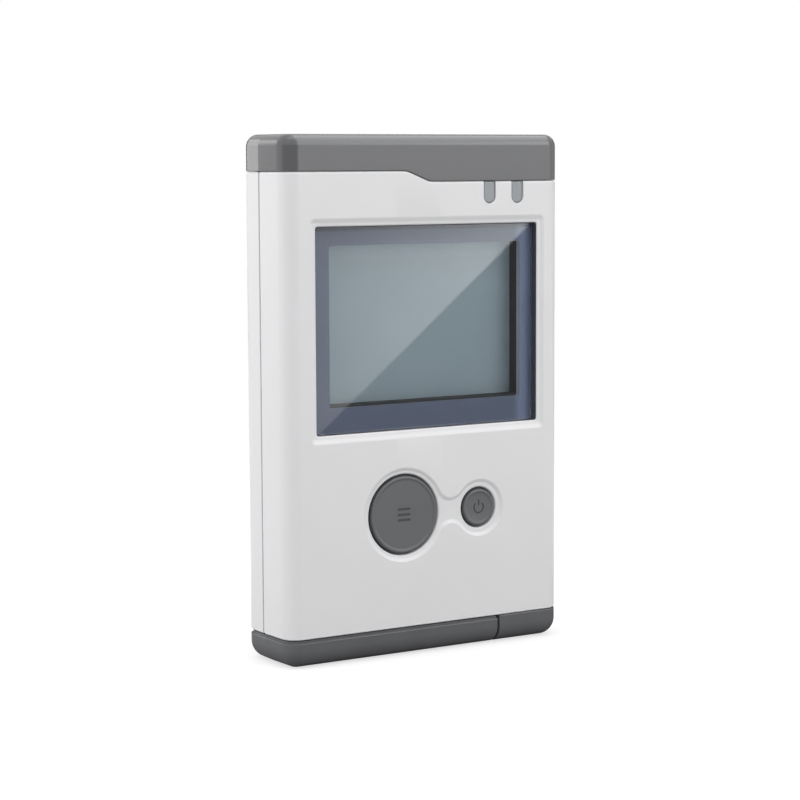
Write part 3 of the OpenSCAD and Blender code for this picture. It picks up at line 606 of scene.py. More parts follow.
def window_glass():
    """Clear plate that lets the lamps through to what lies behind it."""
    material, nodes = shader("clear window")
    place = nodes.add("ShaderNodeTexCoord").outputs["Object"]
    haze = nodes.add("ShaderNodeTexNoise", {"Vector": place, "Scale": 120.0, "Detail": 3.0})
    glass = nodes.add("ShaderNodeBsdfPrincipled", {
        "Base Color": ramp(nodes, haze.outputs[0], (0.93, 0.96, 0.97), (0.96, 0.98, 0.985)),
        "Roughness": 0.0, "IOR": 1.49, "Transmission Weight": 1.0})
    clear = nodes.add("ShaderNodeBsdfTransparent", {"Color": (0.93, 0.95, 0.96, 1)})
    path = nodes.add("ShaderNodeLightPath")
    mix = nodes.add("ShaderNodeMixShader", {0: path.outputs["Is Shadow Ray"],
                                            1: glass.outputs[0], 2: clear.outputs[0]})
    nodes.add("ShaderNodeOutputMaterial", {"Surface": mix.outputs[0]})
    return material


def lcd_face(rgb):
    """Display glass: faint cells, a soft change of tone down the face, and painted light that pales
    its upper edge against the shade there.
    """
    material, nodes = shader("display face")
    place = nodes.add("ShaderNodeTexCoord").outputs["Object"]
    cloud = nodes.add("ShaderNodeTexNoise", {"Vector": place, "Scale": 30.0, "Detail": 2.0})
    split = nodes.add("ShaderNodeSeparateXYZ", {"Vector": place})
    fall = nodes.add("ShaderNodeMapRange", {"Value": split.outputs["Z"], "From Min": 0.05,
                                            "From Max": 0.084, "To Min": 0.35, "To Max": 0.62})
    blend = nodes.add("ShaderNodeMath", {0: fall.outputs["Result"], 1: cloud.outputs[0]},
                      operation="ADD")
    half = nodes.add("ShaderNodeMath", {0: blend.outputs[0], 1: 0.5}, operation="MULTIPLY")
    tone = ramp(nodes, half.outputs[0], shade(rgb, 0.93), shade(rgb, 1.08))
    # Painted light: the face grows up to 1.55 times paler over its top 4 mm, where the mask and
    # ledge shade it.
    upper = nodes.add("ShaderNodeMapRange", {"Value": split.outputs["Z"], "From Min": 0.0795,
                                             "From Max": 0.0835, "To Min": 1.0, "To Max": 1.55})
    lifted = nodes.add("ShaderNodeVectorMath", {0: tone, "Scale": upper.outputs["Result"]},
                       operation="SCALE")
    bsdf = nodes.add("ShaderNodeBsdfPrincipled", {
        "Base Color": lifted.outputs[0],
        "Roughness": spread(nodes, cloud.outputs[0], 0.38, 0.46)})
    nodes.add("ShaderNodeOutputMaterial", {"Surface": bsdf.outputs[0]})
    return material


def window_print(rgb):
    """Print behind the window, with a painted shadow under the opening's upper edge and painted
    light right of the view, against the shade of the opening's right wall.
    """
    material, nodes = shader("window print")
    place = nodes.add("ShaderNodeTexCoord").outputs["Object"]
    cloud = nodes.add("ShaderNodeTexNoise", {"Vector": place, "Scale": 90.0, "Detail": 4.0})
    tone = ramp(nodes, cloud.outputs[0], shade(rgb, 0.96), shade(rgb, 1.04))
    split = nodes.add("ShaderNodeSeparateXYZ", {"Vector": place})
    view_right = (box("display_gasket")[1][0] - GASKET_RIM) * MM
    top = box("display_window")[1][2] * MM
    # Painted light: up to 1.95 times paler from 1.5 mm inside the view's right edge outwards,
    # against the right wall's shade.
    right = nodes.add("ShaderNodeMapRange", {
        "Value": split.outputs["X"], "From Min": view_right - 1.5 * MM, "From Max": view_right,
        "To Min": 1.0, "To Max": 1.95})
    # Painted shadow: half as bright within 0.6 mm of the window's upper edge, fading out by 1.0 mm
    # below it.
    upper = nodes.add("ShaderNodeMapRange", {
        "Value": split.outputs["Z"], "From Min": top - 1.0 * MM, "From Max": top - 0.6 * MM,
        "To Min": 1.0, "To Max": 0.5})
    factor = nodes.add("ShaderNodeMath", {0: right.outputs["Result"], 1: upper.outputs["Result"]},
                       operation="MULTIPLY")
    scaled = nodes.add("ShaderNodeVectorMath", {0: tone, "Scale": factor.outputs[0]},
                       operation="SCALE")
    bsdf = nodes.add("ShaderNodeBsdfPrincipled", {
        "Base Color": scaled.outputs[0],
        "Roughness": spread(nodes, cloud.outputs[0], 0.45, 0.55)})
    nodes.add("ShaderNodeOutputMaterial", {"Surface": bsdf.outputs[0]})
    return material


def circuit_board():
    """Green solder mask with copper lines and pads showing through."""
    material, nodes = shader("circuit board")
    place = nodes.add("ShaderNodeTexCoord").outputs["Object"]
    turned_place = nodes.add("ShaderNodeMapping",
                             {"Vector": place, "Rotation": (radians(90), 0.0, 0.0)})
    tracks = nodes.add("ShaderNodeTexBrick", {
        "Vector": turned_place.outputs[0], "Scale": 220.0, "Mortar Size": 0.06,
        "Color1": (0.02, 0.14, 0.06, 1), "Color2": (0.03, 0.17, 0.08, 1),
        "Mortar": (0.06, 0.30, 0.13, 1)})
    cloud = nodes.add("ShaderNodeTexNoise", {"Vector": place, "Scale": 200.0, "Detail": 2.0})
    bump = nodes.add("ShaderNodeBump", {"Height": tracks.outputs["Fac"], "Strength": 0.5,
                                        "Distance": 0.03 * MM})
    bsdf = nodes.add("ShaderNodeBsdfPrincipled", {
        "Base Color": tracks.outputs["Color"],
        "Roughness": spread(nodes, cloud.outputs[0], 0.25, 0.4), "Normal": bump.outputs[0]})
    nodes.add("ShaderNodeOutputMaterial", {"Surface": bsdf.outputs[0]})
    return material


def foam():
    """Black foam with open pores."""
    material, nodes = shader("black foam")
    place = nodes.add("ShaderNodeTexCoord").outputs["Object"]
    pores = nodes.add("ShaderNodeTexVoronoi", {"Vector": place, "Scale": 4000.0})
    bump = nodes.add("ShaderNodeBump", {"Height": pores.outputs["Distance"], "Strength": 0.7,
                                        "Distance": 0.06 * MM})
    bsdf = nodes.add("ShaderNodeBsdfPrincipled", {
        "Base Color": ramp(nodes, pores.outputs["Distance"], (0.012, 0.012, 0.014),
                           (0.035, 0.035, 0.04)),
        "Roughness": 0.8, "Normal": bump.outputs[0]})
    nodes.add("ShaderNodeOutputMaterial", {"Surface": bsdf.outputs[0]})
    return material


class Palette:
    """The object's finishes, each made once."""

    made = {}

    @classmethod
    def get(cls, name):
        if name not in cls.made:
            cls.made[name] = getattr(cls, name)(bpy.context.scene.monitor.colours)
        return cls.made[name]

    def white_shell(c):
        return plastic("white shell", tuple(c.shell), 0.42, grain=0.004, tone=0.008)

    def cap_grey(c):
        return plastic("cap grey", tuple(c.cap), 0.2, grain=0.002, tone=0.04, gloss=0.02)

    def foot_grey(c):
        return plastic("foot grey", tuple(c.foot), 0.25, grain=0.003, tone=0.04, gloss=0.02)

    def key_grey(c):
        return plastic("key grey", tuple(c.key), 0.45, grain=0.008, tone=0.04)

    def key_mark(c):
        return plastic("key mark", tuple(c.mark), 0.6)

    # Dark colour painted on the window opening's wall as its shade.
    def opening_paint(c):
        return plastic("opening paint", tuple(c.wall), 0.4)

    def ledge_grey(c):
        return plastic("ledge grey", tuple(c.ledge), 0.5)

    def joint_shade(c):
        return plastic("joint shade", (0.4, 0.4, 0.405), 0.6)

    # A paler white painted on the housings' lower rim as a highlight.
    def rim_white(c):
        return plastic("rim white", (0.95, 0.95, 0.96), 0.3, grain=0.002, tone=0.008)

    def window_print(c):
        return window_print(tuple(c.print_face))

    def light_pipe(c):
        return plastic("light pipe", tuple(c.light_pipe), 0.3)

    def inner_white(c):
        return plastic("inner white", (0.75, 0.75, 0.73), 0.5, tone=0.02)

    def black_plastic(c):
        return plastic("black plastic", (0.02, 0.02, 0.022), 0.5, grain=0.01)

    def amber_film(c):
        return plastic("amber film", (0.45, 0.2, 0.05), 0.25)

    def ceramic(c):
        return plastic("ceramic", (0.45, 0.33, 0.18), 0.5)

    def cell_jacket(c):
        return plastic("cell jacket", tuple(c.jacket), 0.28, grain=0.001)

    def jacket_band(c):
        return plastic("jacket band", (0.72, 0.72, 0.7), 0.3, grain=0.001)

    def steel(c):
        return metal("brushed steel", (0.60, 0.60, 0.61), 0.30)

    def screw_steel(c):
        return metal("screw steel", (0.36, 0.36, 0.37), 0.34, stretch=(60.0, 60.0, 60.0))

    def gold(c):
        return metal("gold contact", (0.70, 0.50, 0.20), 0.28)

    def clear_window(c):
        return window_glass()

    def lcd(c):
        return lcd_face(tuple(c.lcd))

    def board(c):
        return circuit_board()

    def foam_black(c):
        return foam()


def coat(node, finish_name):
    """Gives a CAD node that stays a better finish."""
    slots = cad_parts[node].data.materials
    slots.clear()
    slots.append(Palette.get(finish_name))


# ---------- shapes that several pieces share ----------

def seam_height(context, x):
    """Height of the top cap's lower edge at x."""
    s = sizes(context, "seam")
    t, e = (x - s.start_x) / s.run, s.softness
    return s.left_z - s.drop * (sqrt(t * t + e * e) - sqrt((t - 1) ** 2 + e * e) + 1) / 2


def slope_samples(context):
    """Places across the body where the sloping edge is followed closely."""
    s = sizes(context, "seam")
    steps = 30
    start, end = s.start_x - 0.5 * s.run, s.start_x + 1.5 * s.run
    return [round(start + (end - start) * k / steps, 4) for k in range(steps + 1)]


def body_corners(context, steps=14, parting_steps=1):
    """Corners of the whole body's section, with the lean of its sides."""
    s = sizes(context, "shell")
    front_x = HALF_W - (s.parting - FRONT_Y) * tan(s.front_draft)
    rear_x = HALF_W - (REAR_Y - s.parting) * tan(s.rear_draft)
    slope = slope_samples(context)
    return ([(-HALF_W, s.parting, 6.0, parting_steps), (-front_x, FRONT_Y, s.edge, steps)]
            + [(x, FRONT_Y, 0, 1) for x in slope]
            + [(front_x, FRONT_Y, s.edge, steps), (HALF_W, s.parting, 6.0, parting_steps),
               (rear_x, REAR_Y, s.edge, steps)]
            + [(x, REAR_Y, 0, 1) for x in reversed(slope)]
            + [(-rear_x, REAR_Y, s.edge, steps)])


def housing_wall(context, name, rear):
    """The wall of one housing between the seams: a rim that runs back inside itself."""
    s, steps = sizes(context, "shell"), 14
    half_gap = s.parting_gap / 2
    draft = s.rear_draft if rear else s.front_draft
    turn = -1 if rear else 1
    middle = s.parting * turn
    face, end = FRONT_Y, middle - half_gap

    def side(y, wall=0.0):
        return HALF_W - (middle - y) * tan(draft) - wall / cos(draft)

    slope = sorted(x * turn for x in slope_samples(context))
    inner = face + s.wall
    corners = (
        [(-side(end), end, s.split_rim, 3), (-side(face), face, s.edge, steps)]
        + [(x, face, 0, 1) for x in slope]
        + [(side(face), face, s.edge, steps), (side(end), end, s.split_rim, 3),
           (side(end, s.wall), end, 0.05, 3), (side(inner, s.wall), inner, s.edge - s.wall, steps)]
        + [(x, inner, 0, 1) for x in reversed(slope)]
        + [(-side(inner, s.wall), inner, s.edge - s.wall, steps),
           (-side(end, s.wall), end, 0.05, 3)])
    rim, gap = round_over(s.rim), sizes(context, "seam").gap
    rows = [(lambda x, a=a: FOOT_Z + a, inset) for a, inset in rim]
    rows += [(lambda x, a=a: seam_height(context, x) - gap - a, inset)
             for a, inset in reversed(rim)]
    loops = [[(x * turn, y * turn, height(x * turn)) for x, y in rounded_loop(corners, inset)]
             for height, inset in rows]
    return loft(name, loops, strips=True)


def paint_edges(context, shell):
    """Darkens the end face at the parting line with painted shade, which shows only as a thin line,
    and gives the lower rim, which faces away from the lamps, a paler white as a painted highlight."""
    s = sizes(context, "shell")
    parting, reach, rim_top = s.parting, s.wall + 0.1, FOOT_Z + s.rim
    paint(shell, Palette.get("joint_shade"), lambda c, n: (
        abs(n.y) > 0.8 and abs(c.y - parting) < 0.15 and abs(c.x) > HALF_W - reach))
    # Painted highlight: the lower rim is paler than the rest of the shell.
    paint(shell, Palette.get("rim_white"), lambda c, n: c.z < rim_top and -0.95 < n.z < -0.05)


def screw_places():
    """Places of the four housing screws, as (x, z)."""
    (_, _, z), (w, _, h) = span("housing_screws")
    x, rise = w / 2 - HOUSING_HEAD, h / 2 - HOUSING_HEAD
    return [(sx * x, z + sz * rise) for sx in (-1, 1) for sz in (-1, 1)]


def board_screw_places():
    """Places of the four board screws, as (x, z); the upper pair stands closer together."""
    low, high = box("board_screws")
    lower = (high[0] - BOARD_HEAD, low[2] + BOARD_HEAD)
    upper = (UPPER_BOSS_X, high[2] - BOARD_HEAD)
    return [(sx * x, z) for x, z in (lower, upper) for sx in (-1, 1)]


def cap_peg_places():
    """Places of the corner cap's pegs behind the plug recess, as (x, y)."""
    (x, y, _), _ = span("usb_socket")
    return [(x + dx, y + PLUG[1] + PLUG_WALL + 2 * CAP_PEG) for dx in (-CAP_PEG_X, CAP_PEG_X)]


def cover_panel(context):
    """Left side and top of the battery cover's panel on the back."""
    return -HALF_W + sizes(context, "shell").edge + 0.2, box("battery_cover")[1][2] - 1.1


def step_rows(depth, slope, steps):
    """Rows of a shallow step in the front face, whose slope is soft at both ends."""
    rows = [(FRONT_Y - OUTSIDE, -0.05), (FRONT_Y - 0.01, -0.02)]
    return rows + [(FRONT_Y + depth * ease(k / steps), slope * k / steps)
                   for k in range(1, steps + 1)]


def mouth_rows(floor):
    """Rows of a cutter from its floor out to the back face, with a rounded edge there."""
    edge = [(REAR_Y - a, -inset) for a, inset in reversed(round_over(MOUTH_EDGE)[1:])]
    return [(floor, 0.0), *edge, (REAR_Y + 0.01, -MOUTH_EDGE),
            (REAR_Y + OUTSIDE, -MOUTH_EDGE - 0.02)]


def flared_hole(x, z, radius, face, depth, flare=0.2, end=None):
    """A round cutter along Y whose edge at the face is rounded. depth is signed."""
    sign = 1 if depth > 0 else -1
    rows = [(face - sign * OUTSIDE, radius + flare * 1.05), (face - sign * 0.01, radius + flare)]
    rows += [(face + sign * along, radius + inset) for along, inset in round_over(flare)[1:]]
    rows.append((face + depth, radius))
    return turned("hole", (z, x), "Y", rows + (end or []), 64)


# ---------- pieces ----------

class MONITOR_OT_front_housing(bpy.types.Operator):
    """Front housing with its window, key holes and indicator slots"""
    bl_idname = "monitor.front_housing"
    bl_label = "Front housing"

    def view(self, margin=0.0):
        """Lowest and highest corner of the clear view behind the window, as (x, z)."""
        low, high = box("display_gasket")
        rim = GASKET_RIM - margin
        return (low[0] + rim, low[2] + rim), (high[0] - rim, high[2] - rim)

    def window_cutter(self, context):
        d = sizes(context, "display")
        (x, _, z), _ = span("display_window")
        low, high = self.view()
        ledge = box("window_mask")[1][1]
        view = rectangle((low[0] + high[0]) / 2, (low[1] + high[1]) / 2,
                         high[0] - low[0], high[1] - low[1], 0.5)
        step = rectangle(x, z, d.width + 2 * d.surround, d.height + 2 * d.surround, d.step_corner)
        loops = [flat(rounded_loop(step, inset), y) for y, inset in step_rows(d.depth, d.slope, 8)]
        opening = rectangle(x, z, d.width, d.height, d.corner)
        floor = FRONT_Y + d.depth
        rows = [(floor + along, -inset) for along, inset in round_over(d.flare, 5, 0.3)]
        rows.append((ledge, 0.0))
        loops += [flat(rounded_loop(opening, inset), y) for y, inset in rows]
        loops += [flat(rounded_loop(view), y) for y in (ledge, ledge + 3 * OUTSIDE)]
        return loft("window cutter", loops)

    def surround_cutter(self, context):
        k = sizes(context, "keys")
        depth = sizes(context, "display").depth
        (mx, _, mz), _ = span("mode_button")
        (px, _, pz), _ = span("power_button")
        big, small = k.mode_hole / 2 + k.mode_step, k.power_hole / 2 + k.power_step
        rise = k.neck / 2 + k.fillet
        reach_m = sqrt((big + k.fillet) ** 2 - rise ** 2)
        reach_p = sqrt((small + k.fillet) ** 2 - rise ** 2)
        am = atan2(rise, reach_m) * 180 / pi
        ap = atan2(rise, reach_p) * 180 / pi
        arcs = [(mx, mz, big, am, 360 - am, 64),
                (mx + reach_m, mz - rise, k.fillet, 180 - am, 90, 8),
                (px - reach_p, pz - rise, k.fillet, 90, ap, 8),
                (px, pz, small, ap - 180, 180 - ap, 48),
                (px - reach_p, pz + rise, k.fillet, -ap, -90, 8),
                (mx + reach_m, mz + rise, k.fillet, -90, am - 180, 8)]
        return loft("surround cutter", [flat(arc_loop(arcs, inset), y)
                                        for y, inset in step_rows(depth, k.slope, 6)])

    def slot_cutter(self, node):
        (x, _, _), (w, _, _) = span(node)
        low = box(node)[0][2] - 0.1
        half = w / 2 + 0.1
        corners = [(x + half, TOP_Z, 0, 1), (x - half, TOP_Z, 0, 1),
                   (x - half, low, half - 0.01, 12), (x + half, low, half - 0.01, 12)]
        flare = 0.12
        rows = [(FRONT_Y - OUTSIDE, -flare - 0.01), (FRONT_Y - 0.01, -flare)]
        rows += [(FRONT_Y + along, -inset) for along, inset in round_over(flare)[1:]]
        rows.append((FRONT_Y + 3, 0.0))
        return plate("slot cutter", corners, rows)

    def execute(self, context):
        s, k = sizes(context, "shell"), sizes(context, "keys")
        inner, front_end = FRONT_Y + s.wall, s.parting - s.parting_gap / 2
        shell = housing_wall(context, "front_shell", rear=False)
        (win_x, _, win_z), _ = span("display_window")
        d = sizes(context, "display")
        gasket_y = box("display_gasket")[0][1]
        board_y = box("main_board")[0][1]
        key_board_low, key_board_high = box("key_board")
        start = inner - MERGE
        ledge = plate("ledge", rectangle(win_x, win_z, d.width + 2.4, d.height + 2.4,
                                         d.corner + 1.2), [(start, 0), (gasket_y, 0)])
        posts = [turned("post", (z, x), "Y", [(start, POST), (front_end, POST)])
                 for x, z in screw_places()]
        peg_xs = (key_board_low[0] + 3, RIGHT_PEG_X)
        peg_zs = (key_board_low[2] + 3.2, key_board_high[2] - 2)
        pegs = [turned("peg", (z, x), "Y", [(start, 1.8), (key_board_low[1], 1.8),
                                            (key_board_low[1], 0.9),
                                            (key_board_high[1] - 0.2, 0.9),
                                            (key_board_high[1], 0.7)], 32)
                for x in peg_xs for z in peg_zs]
        floor_top = FOOT_Z + s.wall - 0.2
        tray_front = box("rear_housing")[0][1] - 0.2
        floors = [brick((-31.2, 18.2), (start, tray_front), (FOOT_Z + 0.3, floor_top)),
                  brick((18.5, 31.2), (start, front_end), (FOOT_Z + 0.3, floor_top))]
        unite(shell, ledge, *posts, *pegs, *floors)
        unite(shell, *[bar(x, z, BOSS, (start, board_y)) for x, z in board_screw_places()])
        cut(shell, self.window_cutter(context), self.surround_cutter(context))
        (mx, _, mz), _ = span("mode_button")
        (px, _, pz), _ = span("power_button")
        floor = FRONT_Y + d.depth
        holes = [flared_hole(mx, mz, k.mode_hole / 2, floor, 3.0, 0.4),
                 flared_hole(px, pz, k.power_hole / 2, floor, 3.0, 0.4),
                 self.slot_cutter("indicator_window_left"),
                 self.slot_cutter("indicator_window_right")]
        holes += [bar(x, z, POST_BORE, (inner + 1, front_end + 1), 24) for x, z in screw_places()]
        holes += [bar(x, z, BOSS_BORE, (inner + 1, board_y + 1), 24)
                  for x, z in board_screw_places()]
        holes += [brick((x - 3.2, x + 3.2), (start, inner + 1.3), (FOOT_Z - 1, floor_top + 1))
                  for x in TAB_XS]
        usb_low, usb_high = box("usb_socket")
        holes.append(brick((usb_low[0] - 0.3, usb_high[0] + 0.3),
                           (usb_low[1] - 0.3, usb_high[1] + 0.3), (FOOT_Z - 1, floor_top + 1)))
        cut(shell, *holes)
        shell.data.materials.append(Palette.get("white_shell"))
        half_w, half_h = d.width / 2 + 0.05, d.height / 2 + 0.05
        # Painted shade on the walls of the window's opening, within 0.3 mm of its edges.
        paint(shell, Palette.get("opening_paint"), lambda c, n: (
            abs(c.x - win_x) < half_w and abs(c.z - win_z) < half_h
            and floor + 0.25 < c.y < gasket_y and abs(n.y) < 0.5
            and (abs(c.x - win_x) > half_w - 0.3 or abs(c.z - win_z) > half_h - 0.3)))
        view_low, view_high = self.view(0.1)
        ledge_y = box("window_mask")[1][1]
        paint(shell, Palette.get("ledge_grey"), lambda c, n: (
            view_low[0] < c.x < view_high[0] and view_low[1] < c.z < view_high[1]
            and ledge_y < c.y < gasket_y and abs(n.y) < 0.5))
        paint_edges(context, shell)
        finish(shell, Palette.get("white_shell"), replaces=["front_housing"])
        return {"FINISHED"}


class MONITOR_OT_rear_housing(bpy.types.Operator):
    """Rear housing with its battery tray, screw recesses, electrode pockets and sound holes"""
    bl_idname = "monitor.rear_housing"
    bl_label = "Rear housing"

    def sound_holes(self, context):
        r = sizes(context, "rear")
        inputs = [("Holes", "NodeSocketInt", r.holes),
                  ("Ring", "NodeSocketFloat", r.hole_ring),
                  ("Radius", "NodeSocketFloat", r.hole),
                  ("Depth", "NodeSocketFloat", 5.0)]

        def build(nodes, sockets):
            ring = nodes.add("GeometryNodeMeshCircle",
                             {"Vertices": sockets["Holes"], "Radius": sockets["Ring"]})
            middle = nodes.add("GeometryNodeMeshLine", {"Count": 1})
            points = nodes.add("GeometryNodeJoinGeometry")
            nodes.tree.links.new(ring.outputs[0], points.inputs[0])
            nodes.tree.links.new(middle.outputs[0], points.inputs[0])
            hole = nodes.add("GeometryNodeMeshCylinder", {
                "Vertices": 24, "Radius": sockets["Radius"], "Depth": sockets["Depth"]})
            field = copies(nodes, points.outputs[0], hole.outputs[0])
            return moved(nodes, field, (0.0, REAR_Y, r.hole_z), (pi / 2, 0.0, 0.0))

        return repeated("sound holes", inputs, build)

    def execute(self, context):
        s = sizes(context, "shell")
        shell = housing_wall(context, "rear_shell", rear=True)
        inner = REAR_Y - s.wall
        rear_start = s.parting + s.parting_gap / 2
        tray_front = box("rear_housing")[0][1]
        plates_low, plates_high = box("battery_contacts")
        bay = [(plates_low[0], plates_high[0]), (tray_front + BAY_WALL, REAR_Y + 1)]
        floor_top = FOOT_Z + s.wall - 0.2
        bay_top = box("battery_upper")[1][2] + 0.25
        tray_top, tray_x = bay_top + BAY_WALL, (bay[0][0] - BAY_WALL, bay[0][1] + BAY_WALL)
        end = inner + MERGE
        tray = brick(tray_x, (tray_front, end), (FOOT_Z + 0.01, tray_top))
        posts = [turned("post", (z, x), "Y", [(rear_start, POST), (end, POST)])
                 for x, z in screw_places()]
        unite(shell, tray, *posts)
        tongue_top = box("main_board")[1][2]
        floor = brick((16.0, 31.3), (rear_start + 0.01, end), (FOOT_Z + 0.3, floor_top))
        web = brick((-31.6, bay[0][0] - 0.1), (rear_start + 0.01, inner - 2.2),
                    (FOOT_Z + 0.3, tray_top - 0.01))
        unite(shell, floor, web)
        for sx in (-1, 1):
            x = sorted((sx * 30.5, sx * 31.3))
            wide = sorted((sx * 30.5, sx * 31.6))
            unite(shell, brick(wide, (rear_start + 0.005, rear_start + 1),
                               (tray_top + 1, tongue_top)))
            unite(shell, brick(x, (s.parting - 1, rear_start + 0.9),
                               (tray_top + 1.01, tongue_top - 0.01)))
        cut(shell, brick(bay[0], bay[1], (floor_top, bay_top)))
        (panel_left, panel_top), f = cover_panel(context), sizes(context, "foot")
        mouth_x = (panel_left - 0.2, f.split_x + f.split_gap / 2)
        mouth = [(mouth_x[0], FOOT_Z - 3, 0.1, 2), (mouth_x[1], FOOT_Z - 3, 0.1, 2),
                 (mouth_x[1], panel_top + 0.25, 0.6, 6), (mouth_x[0], panel_top + 0.25, 0.6, 6)]
        cut(shell, plate("cover mouth", mouth, mouth_rows(inner - MERGE)))
        cut(shell, brick((panel_left - 1.3, mouth_x[1] + 1.2), (inner + 0.001, REAR_Y - 0.7),
                         (FOOT_Z - 3, panel_top + 1.3)))
        recess = 1.8
        holes = [flared_hole(x, z, 2.1, REAR_Y, -recess, 0.2,
                             [(REAR_Y - recess, POST_BORE), (rear_start - 1, POST_BORE)])
                 for x, z in screw_places()]
        (ex, _, ez), (ew, _, eh) = span("electrode_right")
        holes += [plate("pocket", rectangle(sx * ex, ez, ew + 0.2, eh + 0.2, 3.1, 12),
                        mouth_rows(REAR_Y - 0.6)) for sx in (-1, 1)]
        holes.append(self.sound_holes(context))
        holes += [turned("peg hole", place, "Z", [(FOOT_Z - 1, 1.0), (floor_top + 1, 1.0)], 24)
                  for place in cap_peg_places()]
        cut(shell, *holes)
        studs = [bar(sx * ex, ez + dz, 1.1, (inner - 1, REAR_Y - 0.3), 24)
                 for sx in (-1, 1) for dz in (-STUD_RISE, STUD_RISE)]
        cut(shell, *studs)
        shell.data.materials.append(Palette.get("white_shell"))
        paint_edges(context, shell)
        finish(shell, Palette.get("white_shell"), replaces=["rear_housing"])
        return {"FINISHED"}


class MONITOR_OT_top_cap(bpy.types.Operator):
    """Top end cap with its lowered brow and its lip inside the housings"""
    bl_idname = "monitor.top_cap"
    bl_label = "Top end cap"

    def execute(self, context):
        s, seam = sizes(context, "shell"), sizes(context, "seam")
        corners = body_corners(context)
        lip_out, lip_in, lip_drop = s.wall + 0.15, s.wall + 1.15, 1.2
        cavity_z, edge = TOP_Z - s.wall, round_over(seam.rim, 6)
        rows = [(lambda x: cavity_z, lip_in + 0.6), (lambda x: cavity_z - 0.6, lip_in)]
        rows += [(lambda x: seam_height(context, x) - lip_drop, lip_in),
                 (lambda x: seam_height(context, x) - lip_drop, lip_out),
                 (lambda x: seam_height(context, x), lip_out)]
        rows += [(lambda x, a=a: seam_height(context, x) + a, inset) for a, inset in edge]
        rows += [(lambda x, z=z: z, inset)
                 for z, inset in ((seam.crease_z, 0.0), *CROWN, (TOP_Z, 2.0))]
        loops = [[(x, y, height(x)) for x, y in rounded_loop(corners, inset)]
                 for height, inset in rows]
        cap = loft("top_cap", loops)
        finish(cap, Palette.get("cap_grey"), replaces=["top_end_cap"],
               sharp=lambda p: (abs(p.y - s.parting) < 0.1 and abs(p.x) > HALF_W - 1
                                or abs(p.z - seam.crease_z) < 0.01))
        return {"FINISHED"}


